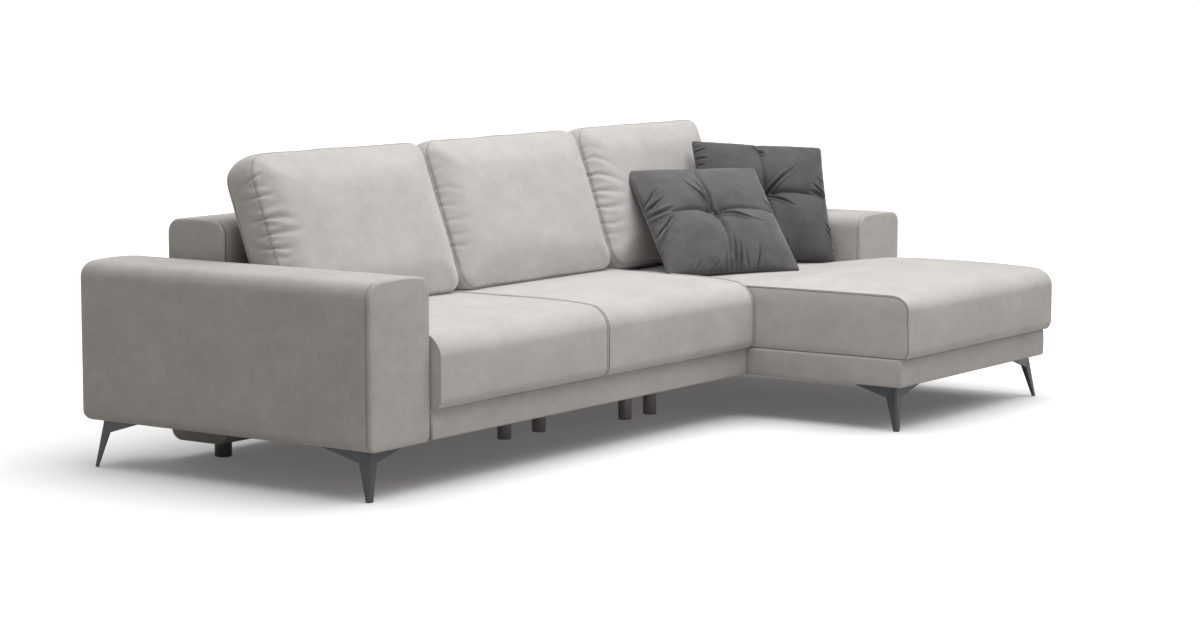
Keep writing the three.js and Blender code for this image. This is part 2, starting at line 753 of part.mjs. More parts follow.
// A pillow with a knife edge: two grids of points that share their rim.
function pillowGeometry(cells, scaleShare) {
  const half = scatter.side / 2;
  const line = (step) => {
    const share = (2 * step) / cells - 1;
    return Math.sign(share) * Math.abs(share) ** scatter.spread;
  };
  const points = [];
  const add = (s, t, face) => {
    const x = half * s * (1 - scatter.drawShare * (1 - t * t));
    const z = half * t * (1 - scatter.drawShare * (1 - s * s));
    const puff = ((1 - s * s) * (1 - t * t)) ** scatter.edgePower;
    const tuft = scatter.tuftShare * Math.exp(-((Math.hypot(x, z) / scatter.tuftReach) ** 2));
    const groove = (across) => scatter.channelShare * Math.exp(-((across / scatter.channelReach) ** 2));
    const channel = face < 0 ? groove(x) + groove(z) * (1 - groove(x) / scatter.channelShare) : 0;
    const y = (face * (scatter.thickness / 2) * puff * (1 - tuft)) * (1 - channel);
    points.push(x * scaleShare, y * scaleShare, z * scaleShare);
    return points.length / 3 - 1;
  };
  const grids = [-1, 1].map(() => []);
  for (let row = 0; row <= cells; row += 1) {
    for (let column = 0; column <= cells; column += 1) {
      const rim = row === 0 || column === 0 || row === cells || column === cells;
      const front = add(line(column), line(row), -1);
      grids[0].push(front);
      grids[1].push(rim ? front : add(line(column), line(row), 1));
    }
  }
  const triangles = [];
  grids.forEach((grid, face) => {
    for (let row = 0; row < cells; row += 1) {
      for (let column = 0; column < cells; column += 1) {
        const corner = row * (cells + 1) + column;
        const ring = [grid[corner], grid[corner + 1], grid[corner + cells + 2], grid[corner + cells + 1]];
        // Each diagonal runs towards the middle, so that no corner is folded flat.
        const towards = (row < cells / 2) === (column < cells / 2);
        const [a, b, c, d] = towards ? ring : [ring[1], ring[2], ring[3], ring[0]];
        triangles.push(...(face === 0 ? [a, b, c, a, c, d] : [a, c, b, a, d, c]));
      }
    }
  });
  const geometry = new THREE.BufferGeometry();
  geometry.setAttribute("position", new THREE.Float32BufferAttribute(points, 3));
  geometry.setIndex(triangles);
  return geometry;
}

function makeScatterCushion(name, pose) {
  const outer = solid(pillowGeometry(scatter.cells, 1));
  const hollow = solid(pillowGeometry(scatter.innerCells, scatter.coverShare));
  const core = solid(pillowGeometry(scatter.innerCells, scatter.coreShare));
  const half = scatter.side / 2;
  const halfLength = half * zip.lengthShare;
  const halfHeight = zip.scatterHeight / 2;
  const hollowEdge = -half * scatter.coverShare * (1 - scatter.drawShare);
  const slotTop = hollowEdge + zip.height;
  const slot = block([-halfLength, -halfHeight, -half - overrun], [halfLength, halfHeight, slotTop]);
  const made = group(
    part(`${name}_cover`, cut(outer, hollow, slot), "velvet"),
    part(`${name}_core`, core, "foam"),
  );
  made.position.set(rightArmLeft - pose.armGap, back.front - pose.backGap, chaiseTop + pose.height);
  const [tilt, roll, turn] = [-pose.tilt, -pose.roll, pose.turn].map(THREE.MathUtils.degToRad);
  made.rotation.set(tilt, roll, turn, "ZXY");
  return made;
}

// A corner leg, with the module's corner at the origin and the module towards +x and +y.
// Both plates lean outwards along one ridge, and a flange under the module takes its screws.
function legShape(height) {
  const inset = (z) => leg.footInset + ((leg.topInset - leg.footInset) * z) / height;
  const outline = new THREE.Shape();
  outline.moveTo(0, 0);
  outline.lineTo(leg.footWidth, 0);
  outline.lineTo(leg.notchReach - inset(leg.notchRise), leg.notchRise);
  outline.lineTo(leg.wingReach - leg.topInset, height);
  outline.lineTo(0, height);
  const plate = (swap) => {
    const geometry = new THREE.ExtrudeGeometry(outline, { depth: leg.sheet, bevelEnabled: false });
    const places = geometry.getAttribute("position");
    for (let index = 0; index < places.count; index += 1) {
      const along = places.getX(index);
      const z = places.getY(index);
      const through = places.getZ(index);
      const first = inset(z) + along;
      const second = inset(z) + through;
      places.setXYZ(index, swap ? second : first, swap ? first : second, z);
    }
    return turnedOut(geometry);
  };
  const flange = block(
    [leg.topInset, leg.topInset, height - leg.sheet],
    [leg.topInset + leg.flange, leg.topInset + leg.flange, height],
  );
  return joined(plate(false), plate(true), flange);
}

// One of the two plates comes out inside out, and its triangles are turned round.
function turnedOut(geometry) {
  const merged = mergeVertices(geometry, mergeTolerance);
  const made = solid(merged.clone());
  if (made.volume() > 0) return made;
  const turned = [...merged.index.array].reverse();
  merged.setIndex(turned);
  return solid(merged);
}

function makeLeg(name, x, y, towardsX, towardsY, height) {
  const made = part(name, legShape(height), "legMetal");
  made.position.set(x, y, 0);
  made.scale.set(towardsX, towardsY, 1);
  return made;
}

function roundFoot(name, x, y, height, diameter, chamfer) {
  const radius = diameter / 2;
  const outline = [
    [0, 0],
    [radius - chamfer, 0],
    [radius, chamfer],
    [radius, height - touch],
    [0, height - touch],
  ];
  const shape = solid(turnedAbout(outline, roundSides).rotateX(Math.PI / 2));
  const made = part(name, shape, "footPlastic");
  made.position.set(x, y, 0);
  return made;
}

// Two support feet near the seats' divider, and two a little before them, near the chaise
function supportFootPlaces() {
  const nearDivider = seatLeft + seat.pitch + seatFoot.rearInset;
  const nearChaise = seatRight - seatFoot.frontInset;
  return [
    [nearDivider - seatFoot.rearPitch, seatFoot.rearY],
    [nearDivider, seatFoot.rearY],
    [nearChaise - seatFoot.frontPitch, seatFoot.frontY],
    [nearChaise, seatFoot.frontY],
  ];
}

function makeFeet() {
  const armLeg = arm.bottom - touch;
  const chaiseLeg = base.bottom - touch;
  const made = group(
    makeLeg("leg_left_front", 0, 0, 1, 1, armLeg),
    makeLeg("leg_left_rear", 0, arm.length, 1, -1, armLeg),
    makeLeg("leg_right_rear", sofaWidth, arm.length, -1, -1, armLeg),
    makeLeg("leg_chaise_left", seatRight + touch, -chaise.reach, 1, 1, chaiseLeg),
    makeLeg("leg_chaise_right", sofaWidth, -chaise.reach, -1, 1, chaiseLeg),
  );
  const middle = back.front + back.depth / 2;
  const { diameter, chamfer, inset } = backFoot;
  const top = back.bottom + arm.lipSkin - dust.thickness;
  made.add(roundFoot("back_foot_left", inset, middle, top, diameter, chamfer));
  made.add(roundFoot("back_foot_right", sofaWidth - inset, middle, top, diameter, chamfer));
  supportFootPlaces().forEach(([x, y], index) => {
    const name = `support_foot_${index + 1}`;
    made.add(roundFoot(name, x, y, base.bottom, seatFoot.diameter, seatFoot.chamfer));
  });
  return made;
}

function makeBolts() {
  const made = new THREE.Group();
  const rows = { front: bolt.front, rear: boltRear };
  Object.entries(rows).forEach(([row, y]) => {
    made.add(part(`arm_bolt_left_${row}`, armBolt(seatLeft, y, 1), "zincSteel"));
    made.add(part(`arm_bolt_right_${row}`, armBolt(rightArmLeft, y, -1), "zincSteel"));
    made.add(part(`module_bolt_${row}`, boltAlongX(moduleBoltX, y), "zincSteel"));
  });
  backBoltPlaces().forEach(([x, y], index) => {
    made.add(part(`back_bolt_${index + 1}`, boltAlongY(x, y), "zincSteel"));
  });
  return made;
}

// A bolt through an arm's inner side. Its head bears on the inner face of the base's end rail.
function armBolt(x, y, towards) {
  const geometry = boltShape().rotateZ(Math.PI / 2);
  if (towards < 0) geometry.rotateZ(Math.PI);
  const headFace = rails.width + bolt.headHeight + 2 * touch;
  return solid(geometry.translate(x + towards * headFace, y, bolt.height));
}

function makeCushions() {
  const made = new THREE.Group();
  for (let index = 0; index < seat.count; index += 1) {
    made.add(makeSeatCushion(index));
    const left = seatLeft + index * seat.pitch;
    const { low, high } = seatCorners(index);
    const below = seatForm(low, high, seat.crown, seat.cells, 0, bendRows);
    made.add(makeBackCushion(`back_cushion_${index + 1}`, left, left + seat.pitch, below, 0));
  }
  made.add(makeChaiseCushion());
  const last = `back_cushion_${seat.count + 1}`;
  const { low, high } = chaiseCorners();
  const below = seatForm(low, high, chaise.crown, chaise.cells, 0, bendRows);
  made.add(makeBackCushion(last, seatRight, rightArmLeft, below, chaiseTop - seatTop));
  made.add(makeScatterCushion("scatter_cushion_front", scatterPoses.front));
  made.add(makeScatterCushion("scatter_cushion_rear", scatterPoses.rear));
  return made;
}

const leftArm = makeArm("left");
const rightArm = makeArm("right");
rightArm.scale.x = -1;
rightArm.position.x = sofaWidth;

const sofa = group(
  leftArm,
  rightArm,
  makeSeatBase(),
  makeChaiseBase(),
  makeBack(),
  makeFeet(),
  makeBolts(),
  makeCushions(),
);

// The origin is on the floor, under the middle of the whole sofa.
const span = new THREE.Box3().setFromObject(sofa);
sofa.position.set(-(span.min.x + span.max.x) / 2, -(span.min.y + span.max.y) / 2, -span.min.z);

export default sofa;
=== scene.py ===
import json
import math

import bmesh
import bpy
import numpy as np
from mathutils import Matrix, Vector, noise
from mathutils.bvhtree import BVHTree

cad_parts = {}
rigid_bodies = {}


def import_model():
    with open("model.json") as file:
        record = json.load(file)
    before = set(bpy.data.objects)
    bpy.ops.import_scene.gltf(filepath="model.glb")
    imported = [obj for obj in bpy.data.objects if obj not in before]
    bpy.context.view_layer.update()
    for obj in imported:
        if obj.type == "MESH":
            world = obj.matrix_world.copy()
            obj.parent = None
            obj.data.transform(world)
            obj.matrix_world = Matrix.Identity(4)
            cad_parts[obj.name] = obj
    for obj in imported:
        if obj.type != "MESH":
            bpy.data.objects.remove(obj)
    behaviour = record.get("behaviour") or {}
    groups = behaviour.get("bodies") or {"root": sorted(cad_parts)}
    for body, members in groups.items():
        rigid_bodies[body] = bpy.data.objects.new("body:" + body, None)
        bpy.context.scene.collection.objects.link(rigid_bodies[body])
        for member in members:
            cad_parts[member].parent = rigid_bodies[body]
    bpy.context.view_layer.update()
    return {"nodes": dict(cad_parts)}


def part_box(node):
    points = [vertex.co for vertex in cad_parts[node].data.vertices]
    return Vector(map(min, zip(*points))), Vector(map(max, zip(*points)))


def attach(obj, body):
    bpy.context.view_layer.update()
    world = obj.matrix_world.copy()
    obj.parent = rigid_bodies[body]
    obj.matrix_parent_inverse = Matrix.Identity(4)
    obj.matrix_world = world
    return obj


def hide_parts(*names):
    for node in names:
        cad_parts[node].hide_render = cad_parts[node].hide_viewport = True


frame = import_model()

# Lengths are metres in the frame of the solids: +X to the chaise, +Y to the rear, +Z up.

# The body that all but the loose cushions ride on
base_body = "sofa_base"

# Camera
camera_place = (-7.8886, -5.4874, 1.5157)
camera_pitch = 6.861  # degrees below the horizon
camera_turn = 55.093  # degrees from +Y towards +X
camera_lens = 87.71
camera_reach = 100

# Smoothness
corner_steps = 8
deep_corner_share = 0.15
cord_sides = 8
same_place = 1e-5
tiny = 1e-9


# Materials

# Depths of the fine relief
pile_depth = 0.0006
grain_depth = 0.0003
fibre_depth = 0.0005
webbing_depth = 0.0008
felt_depth = 0.001
timber_depth = 0.0008
zinc_depth = 0.0002


def shader_of(material):
    return material.node_tree.nodes["Principled BSDF"]


def new_material(name, colour, roughness, **sockets):
    """A material with its shader, whose other sockets are set by name."""
    material = bpy.data.materials.new(name)
    material.use_nodes = True
    material.diffuse_color = (*colour, 1)
    shader = shader_of(material)
    shader.inputs["Base Color"].default_value = (*colour, 1)
    shader.inputs["Roughness"].default_value = roughness
    for socket, value in sockets.items():
        shader.inputs[socket.replace("_", " ")].default_value = value
    return material


def add_node(owner, kind, **values):
    """A node of this kind in a material or a world, with its inputs set by name."""
    node = owner.node_tree.nodes.new(kind)
    for name, value in values.items():
        if name in node.inputs:
            node.inputs[name].default_value = value
        else:
            setattr(node, name, value)
    return node


def link(owner, source, target):
    owner.node_tree.links.new(source, target)


def place_of(material, stretch=(1, 1, 1)):
    """The place on the piece, in metres, stretched along each axis."""
    coordinates = add_node(material, "ShaderNodeTexCoord")
    mapping = add_node(material, "ShaderNodeMapping", Scale=stretch)
    link(material, coordinates.outputs["Object"], mapping.inputs["Vector"])
    return mapping.outputs["Vector"]


def noise_of(material, place, scale, detail=3, roughness=0.55):
    texture = add_node(material, "ShaderNodeTexNoise", Scale=scale, Detail=detail, Roughness=roughness)
    link(material, place, texture.inputs["Vector"])
    return texture.outputs["Fac"]


def summed(material, parts):
    """The weighted sum of grey values, each given with its weight."""
    total = None
    for value, weight in parts:
        scaled = add_node(material, "ShaderNodeMath", operation="MULTIPLY_ADD")
        scaled.inputs[1].default_value = weight
        scaled.inputs[2].default_value = 0
        link(material, value, scaled.inputs[0])
        if total is not None:
            link(material, total, scaled.inputs[2])
        total = scaled.outputs[0]
    return total


def blended(material, value, low, high, dark, light):
    """Colours between dark and light, as the value goes from low to high."""
    ramp = add_node(material, "ShaderNodeValToRGB")
    ramp.color_ramp.elements[0].position = low
    ramp.color_ramp.elements[0].color = (*dark, 1)
    ramp.color_ramp.elements[1].position = high
    ramp.color_ramp.elements[1].color = (*light, 1)
    link(material, value, ramp.inputs["Fac"])
    return ramp.outputs["Color"]


def bump(material, height, strength, distance):
    node = add_node(material, "ShaderNodeBump", Strength=strength, Distance=distance)
    link(material, height, node.inputs["Height"])
    link(material, node.outputs["Normal"], shader_of(material).inputs["Normal"])


def colour_from(material, colour):
    link(material, colour, shader_of(material).inputs["Base Color"])


def grained(material, grain, low, high, shades, strength, depth):
    """Colours a material by its grain, which also raises its surface."""
    colour_from(material, blended(material, grain, low, high, *shades))
    bump(material, grain, strength, depth)


def shades_of(colour, *factors):
    """Darker and lighter shades of a colour."""
    return [tuple(min(1, channel * factor) for channel in colour) for factor in factors]


def make_velour(name, colour, contrast):
    """Short pile cloth: cloudy nap, faint streaks where it was stroked, and a fine pile."""
    material = new_material(name, colour, 0.88, Sheen_Weight=0.25, Sheen_Roughness=0.5)
    place = place_of(material)
    streaks = noise_of(material, place_of(material, (0.5, 1.4, 1.4)), 16, 3, 0.6)
    strokes = noise_of(material, place_of(material, (0.7, 0.5, 1.8)), 13, 3, 0.6)
    clouds = noise_of(material, place, 6, 5, 0.62)
    patches = noise_of(material, place, 30, 4, 0.65)
    pile = noise_of(material, place, 750, 2)
    nap = summed(material, [(clouds, 0.36), (streaks, 0.16), (strokes, 0.12), (patches, 0.26), (pile, 0.1)])
    shades = shades_of(colour, 1 - contrast, 1 + contrast)
    colour_from(material, blended(material, nap, 0.38, 0.62, *shades))
    bump(material, pile, 0.25, pile_depth)
    return material


def make_velvet(name, colour):
    """Deep pile with a bright sheen on its folds."""
    material = new_material(name, colour, 0.75, Sheen_Weight=1.0, Sheen_Roughness=0.3)
    place = place_of(material)
    clouds = noise_of(material, place, 14, 3)
    pile = noise_of(material, place, 900, 2)
    nap = summed(material, [(clouds, 0.75), (pile, 0.25)])
    colour_from(material, blended(material, nap, 0.38, 0.62, *shades_of(colour, 0.8, 1.25)))
    bump(material, pile, 0.3, pile_depth)
    return material


def make_leg_metal():
    material = new_material("leg_metal", (0.07, 0.073, 0.077), 0.45, Metallic=0.4)
    grain = noise_of(material, place_of(material), 1400, 2)
    shades = ((0.058, 0.061, 0.065), (0.084, 0.087, 0.091))
    grained(material, grain, 0.35, 0.65, shades, 0.15, grain_depth)
    return material


def make_moulded_plastic(name, colour):
    material = new_material(name, colour, 0.5)
    grain = noise_of(material, place_of(material), 900, 3)
    grained(material, grain, 0.3, 0.7, shades_of(colour, 0.8, 1.3), 0.3, grain_depth)
    return material


def make_dust_cloth():
    material = new_material("dust_cloth", (0.02, 0.02, 0.021), 0.95)
    fibres = noise_of(material, place_of(material), 420, 5, 0.7)
    shades = ((0.012, 0.012, 0.013), (0.034, 0.034, 0.036))
    grained(material, fibres, 0.35, 0.65, shades, 0.5, fibre_depth)
    return material


def make_webbing():
    material = new_material("webbing", (0.05, 0.05, 0.055), 0.9)
    waves = add_node(material, "ShaderNodeTexWave", Scale=160, Distortion=0.5)
    link(material, place_of(material), waves.inputs["Vector"])
    shades = ((0.03, 0.03, 0.033), (0.08, 0.08, 0.085))
    grained(material, waves.outputs["Fac"], 0.2, 0.8, shades, 0.6, webbing_depth)
    return material


def make_felt():
    material = new_material("felt", (0.25, 0.24, 0.23), 1)
    fibres = noise_of(material, place_of(material), 240, 6, 0.7)
    grained(material, fibres, 0.3, 0.7, ((0.17, 0.165, 0.16), (0.33, 0.32, 0.3)), 0.6, felt_depth)
    return material


def make_timber():
    material = new_material("timber", (0.5, 0.36, 0.2), 0.7)
    grain = noise_of(material, place_of(material, (2, 2, 40)), 6, 6, 0.6)
    knots = noise_of(material, place_of(material), 7, 2)
    wood = summed(material, [(grain, 0.7), (knots, 0.3)])
    colour_from(material, blended(material, wood, 0.35, 0.65, (0.36, 0.23, 0.12), (0.6, 0.44, 0.26)))
    bump(material, grain, 0.3, timber_depth)
    return material


def make_zinc_steel():
    material = new_material("zinc_steel", (0.45, 0.46, 0.48), 0.32, Metallic=1)
    spangle = noise_of(material, place_of(material), 600, 2)
    shades = ((0.38, 0.39, 0.41), (0.55, 0.56, 0.58))
    grained(material, spangle, 0.35, 0.65, shades, 0.1, zinc_depth)
    return material


fabric = make_velour("upholstery", (0.53, 0.507, 0.49), 0.11)
cushion_fabric = make_velour("cushion_upholstery", (0.58, 0.556, 0.538), 0.095)
piping = make_velour("seam_piping", (0.2, 0.192, 0.184), 0.1)
cushion_thread = make_velour("cushion_thread", (0.34, 0.325, 0.312), 0.1)
seam_thread = make_velour("seam_thread", (0.2, 0.192, 0.184), 0.1)
velvet = make_velvet("velvet", (0.086, 0.082, 0.085))
# A darker copy of the velvet for the rear pillow: painted shade, for the shadow it lies in between the
# cushions
painted_shade_velvet = make_velvet("velvet_against_the_nap", (0.064, 0.061, 0.063))
leg_metal = make_leg_metal()
foot_plastic = make_moulded_plastic("foot_plastic", (0.018, 0.018, 0.018))
# Pale grey for the support feet under the sofa: painted light, making up for the little light that reaches
# them there
painted_light_foot_plastic = make_moulded_plastic("support_foot_plastic", (0.68, 0.655, 0.63))
slots = {
    "upholstery": fabric,
    "cushion_upholstery": cushion_fabric,
    "velvet": velvet,
    "dust_cloth": make_dust_cloth(),
    "webbing": make_webbing(),
    "felt": make_felt(),
    "timber": make_timber(),
    "leg_metal": leg_metal,
    "foot_plastic": foot_plastic,
    "zinc_steel": make_zinc_steel(),
}


# Meshes

# Shifts that give each seed noise of its own
noise_shifts = (7.31, 3.77, 5.13)
# Shares of the flat part of a side kept clear beside a lip's edge, and between that edge and its row
lip_clear_share = 0.08
lip_row_share = 0.01
stuffing_frames = 16
stuffing_quality = 5
stuffing_mass = 0.3
stuffing_pressure = 3.0
stuffing_stiffness = 1.0
evening_rounds = 30


def placed(name, data):
    """A mesh, camera or lamp of this name, linked to the scene."""
    made = bpy.data.objects.new(name, data)
    bpy.context.collection.objects.link(made)
    return made


def new_piece(name, points, faces, body, slot, material=None):
    """A smooth closed mesh that rides on a body."""
    mesh = bpy.data.meshes.new(name)
    mesh.from_pydata([tuple(point) for point in points], [], [tuple(face) for face in faces])
    tidy = bmesh.new()
    tidy.from_mesh(mesh)
    bmesh.ops.recalc_face_normals(tidy, faces=tidy.faces)
    tidy.to_mesh(mesh)
    tidy.free()
    mesh.polygons.foreach_set("use_smooth", [True] * len(mesh.polygons))
    mesh.materials.append(material or slots[slot])
    piece = placed(name, mesh)
    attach(piece, body)
    return piece


def rows_of(mesh, kind):
    """The places or the normals of a mesh's points, a row for each."""
    flat = np.zeros(len(mesh.vertices) * 3)
    mesh.vertices.foreach_get(kind, flat)
    return flat.reshape(-1, 3)


def points_of(piece):
    return rows_of(piece.data, "co")


def set_points(piece, points):
    piece.data.vertices.foreach_set("co", np.asarray(points, dtype=float).ravel())
    piece.data.update()


def sink(piece, depths):
    """Pushes each point of the surface in by its depth."""
    set_points(piece, points_of(piece) - rows_of(piece.data, "normal") * depths[:, None])


def noise_at(points, scale, seed):
    """Smooth noise between about -1 and 1 at each point."""
    shift = Vector([seed * part for part in noise_shifts])
    return np.array([noise.noise(Vector(point) * scale + shift) for point in points])


def waved(piece, height, scale, seed):
    """Pushes the surface in and out in soft waves."""
    sink(piece, -height * noise_at(points_of(piece), scale, seed))


def keep_values(piece, **values):
    """Keeps a number for each point, which stays with the mesh when its faces are split."""
    for name, numbers in values.items():
        attribute = piece.data.attributes.new(name, "FLOAT", "POINT")
        attribute.data.foreach_set("value", np.asarray(numbers, dtype=float))


def kept_values(piece, *names):
    """The kept numbers, which are then no longer needed."""
    found = []
    for name in names:
        numbers = np.zeros(len(piece.data.vertices))
        piece.data.attributes[name].data.foreach_get("value", numbers)
        found.append(numbers)
    for name in names:
        piece.data.attributes.remove(piece.data.attributes[name])
    return found


def split_smoothly(piece):
    """Splits each face in four along smooth curves. The first points keep their order."""
    smooth = piece.modifiers.new("smooth", "SUBSURF")
    smooth.levels = 1
    graph = bpy.context.evaluated_depsgraph_get()
    mesh = bpy.data.meshes.new_from_object(piece.evaluated_get(graph), depsgraph=graph)
    piece.modifiers.clear()
    piece.data = mesh
    mesh.name = piece.name


def sew(piece, weights):
    """Says how firmly each point is held while the stuffing pushes the cloth out."""
    keep_values(piece, sewn=weights)
    group = piece.vertex_groups.new(name="sewn")
    for index in np.nonzero(np.asarray(weights) > 0)[0]:
        group.add([int(index)], float(weights[index]), "REPLACE")


def evened(piece, moves, sewn):
    """Moves averaged with those of their neighbours, so that no crumples stay."""
    ends = np.zeros(len(piece.data.edges) * 2, dtype=int)
    piece.data.edges.foreach_get("vertices", ends)
    ends = ends.reshape(-1, 2)
    counts = np.bincount(ends.ravel(), minlength=len(moves))[:, None]
    loose_share = 1 - sewn[:, None]
    for _ in range(evening_rounds):
        sums = np.zeros_like(moves)
        np.add.at(sums, ends[:, 0], moves[ends[:, 1]])
        np.add.at(sums, ends[:, 1], moves[ends[:, 0]])
        moves = (moves + sums / counts) / 2 * loose_share
    return moves


def add_cloth(piece, spare_share):
    """Sets a piece up as a cloth with pressure inside, a little larger than its form."""
    cloth = piece.modifiers.new("stuffing", "CLOTH")
    settings = cloth.settings
    settings.quality = stuffing_quality
    settings.mass = stuffing_mass
    settings.bending_stiffness = stuffing_stiffness
    settings.use_pressure = True
    settings.uniform_pressure_force = stuffing_pressure
    settings.vertex_group_mass = "sewn"
    settings.shrink_min = -spare_share
    settings.effector_weights.gravity = 0
    cloth.point_cache.frame_start = 1
    cloth.point_cache.frame_end = stuffing_frames


def apply_cloth(piece, graph):
    """Moves each point to where the stuffing pushed it, by its slack at most."""
    before = points_of(piece)
    pushed = rows_of(piece.evaluated_get(graph).to_mesh(), "co")
    slack, sewn = kept_values(piece, "slack", "sewn")
    move = evened(piece, pushed - before, sewn)
    reach = np.linalg.norm(move, axis=1)
    share = slack * np.tanh(reach / slack) / np.maximum(reach, tiny)
    piece.modifiers.clear()
    piece.vertex_groups.clear()
    set_points(piece, before + move * share[:, None])


def stuff(pieces):
    for piece, spare_share in pieces:
        add_cloth(piece, spare_share)
    scene = bpy.context.scene
    for number in range(1, stuffing_frames + 1):
        scene.frame_set(number)
    graph = bpy.context.evaluated_depsgraph_get()
    for piece, _ in pieces:
        apply_cloth(piece, graph)
    scene.frame_set(1)


def fullness(share, power):
    """How full a crown is at a share of the half size: one in the middle, nothing at the seam."""
    return np.maximum(0, 1 - np.abs(share) ** power)


def bend(radius, steps):
    """Depths and insets round a quarter bend, from an end face to the side."""
    angles = [math.pi / 2 * step / steps for step in range(steps + 1)]
    return [(radius * (1 - math.cos(angle)), radius * (1 - math.sin(angle))) for angle in angles]


def quarter(width, height, radius, inset, across, up):
    """Points of the lower right quarter of an outline, from its lower middle to its right middle."""
    corner = max(radius - inset, deep_corner_share * (min(width, height) / 2 - inset))
    flat_x = width / 2 - inset - corner
    flat_z = height / 2 - inset - corner
    points = [(flat_x * share, inset - height / 2) for share in across]
    for step in range(1, corner_steps):
        angle = math.pi / 2 * (step / corner_steps - 1)
        points.append((flat_x + corner * math.cos(angle), -flat_z + corner * math.sin(angle)))
    points.extend((flat_x + corner, -flat_z * share) for share in reversed(up))
    return points


def rounded_outline(width, height, radii, inset, spacing, lip=0):
    """Points round a rectangle from the middle of its lower side, with a radius for each corner.

    The radii are those of the lower right, upper right, upper left and lower left corner.
    """
    largest = max(radii)
    flat = width / 2 - largest
    across = list(np.linspace(0, 1, max(3, round(flat / spacing))))
    if lip:
        edge = (width / 2 - lip) / flat
        across = [share for share in across if abs(share - edge) > lip_clear_share]
        across = sorted([*across, edge - lip_row_share, edge])
    up = list(np.linspace(0, 1, max(3, round((height / 2 - largest) / spacing))))
    quarters = [quarter(width, height, radius, inset, across, up) for radius in radii]
    lower_right, upper_right, upper_left, lower_left = quarters
    points = lower_right[:-1]
    points += [(x, -z) for x, z in reversed(upper_right)][:-1]
    points += [(-x, -z) for x, z in upper_left][:-1]
    points += [(-x, z) for x, z in reversed(lower_left)][:-1]
    return points


def lofted(rings, bridged=False):
    """Skins the rings, which are closed loops of equal counts, and closes both ends.

    A bridged end is closed by faces between its lower and its upper side, the others by one face.
    """
    count = len(rings[0])
    half = count // 2
    points = [point for ring in rings for point in ring]
    faces = []
    for row in range(len(rings) - 1):
        for step in range(count):
            a = row * count + step
            b = row * count + (step + 1) % count
            faces.append((a, a + count, b + count, b))
    for start in (0, (len(rings) - 1) * count):
        if not bridged:
            faces.append(range(start, start + count))
            continue
        for step in range(half // 2):
            for ring in ([step, step + 1, half - step - 1, half - step],
                         [-step, half + step, half + step + 1, -step - 1]):
                ring = list(dict.fromkeys(index % count for index in ring))
                if len(ring) > 2:
                    faces.append([start + index for index in ring])
    return points, faces


def tube(name, path, radius, body, slot, material=None, thickness=0, across=None):
    """A round or flat cord along a closed path, such as a seam's ridge."""
    points = []
    side = across
    for index, point in enumerate(path):
        after = path[(index + 1) % len(path)]
        along = (Vector(after) - Vector(path[index - 1])).normalized()
        if side is None:
            side = along.orthogonal()
        side = (side - along * side.dot(along)).normalized()
        other = along.cross(side)
        for step in range(cord_sides):
            angle = 2 * math.pi * step / cord_sides
            offset = side * (radius * math.cos(angle)) + other * ((thickness or radius) * math.sin(angle))
            points.append(Vector(point) + offset)
    faces = []
    for row in range(len(path)):
        start = row * cord_sides
        after = (row + 1) % len(path) * cord_sides
        for step in range(cord_sides):
            turn = (step + 1) % cord_sides
            faces.append((start + step, start + turn, after + turn, after + step))
    return new_piece(name, points, faces, body, slot, material)


# Arms and back block

# Radii of each arm's lower right, upper right, upper left and lower left corner
arm_radii = {"left": (0.012, 0.040, 0.046, 0.030), "right": (0.030, 0.034, 0.040, 0.012)}
arm_rear_round = 0.032
arm_rear_swell = 0.018
arm_bevel = 0.008
arm_lip = 0.060
arm_crown = 0.009
arm_spacing = 0.016
arm_ring_spacing = 0.022
arm_first_ring = 0.006
arm_recess_start = 0.005
arm_seam_spacing = 0.010
arm_wave = 0.0012
arm_wave_scale = 4
arm_wave_seeds = {"left": 3, "right": 8}
panel_gap = 0.0004
block_bevel = 0.010
block_crown = 0.008
block_round = 0.040
block_radii = (block_round,) * 4
block_lip = 0.058
block_spacing = 0.018
block_ring_spacing = 0.025
block_first_ring = 0.010
block_seam_spacing = 0.012
block_seam_place = 0.004
# The groove of the back block's end seams: places past the bevel, and depths
block_groove = [(0.001, 0.0008), (block_seam_place, 0.0035), (0.007, 0.0008)]
block_wave = 0.0015
block_wave_scale = 3.5
block_wave_seed = 5
# Shares of half a face's width at which its rings stand, from the middle outwards
end_shares = (0.9, 0.75, 0.6, 0.45, 0.3, 0.2)
end_steps = 5
crowned_share = 0.35
face_crown = 0.004
seam_round = 0.0028
seam_steps = 3
seam_radius = 0.0010
seam_sink = 0.0014
dust_recess = 0.0095
underside_reach = 0.002
lip_step = 0.001


def end_profile(depth_start, round_radius, half, towards):
    """Places along and insets of the rings from the middle of an end face out to its side."""
    rings = [(depth_start, half * share) for share in end_shares]
    for depth, inset in bend(round_radius, end_steps):
        rings.append((depth_start + towards * depth, inset))
    return rings


def crown_face(points, axis, level, outwards, middle, size):
    """Swells the flat end face at this level of X or Y, most in its middle."""
    across = 1 - axis
    for point in points:
        if abs(point[axis] - level) < same_place:
            full = fullness((point[across] - middle[0]) / (size[0] / 2), 2)
            full = full * fullness((point[2] - middle[1]) / (size[1] / 2), 4)
            point[axis] += outwards * face_crown * full


def top_crown(across, up, size, height):
    """How far a rounded top stands above its flat form."""
    if up <= size[1] * crowned_share:
        return 0
    return height * max(0, 1 - (2 * across / size[0]) ** 2)


def body_between(profile, size, radii, spacing, lip, place):
    """A loft whose rings have the profile's places and insets."""
    rings = []
    for along, inset in profile:
        outline = rounded_outline(*size, radii, inset, spacing, lip)
        rings.append([place(across, along, up) for across, up in outline])
    return lofted(rings)


def stations_between(start, end, spacing, extra=()):
    count = max(1, round(abs(end - start) / spacing))
    places = [start + (end - start) * step / count for step in range(1, count)]
    return sorted(places + list(extra), reverse=end < start)


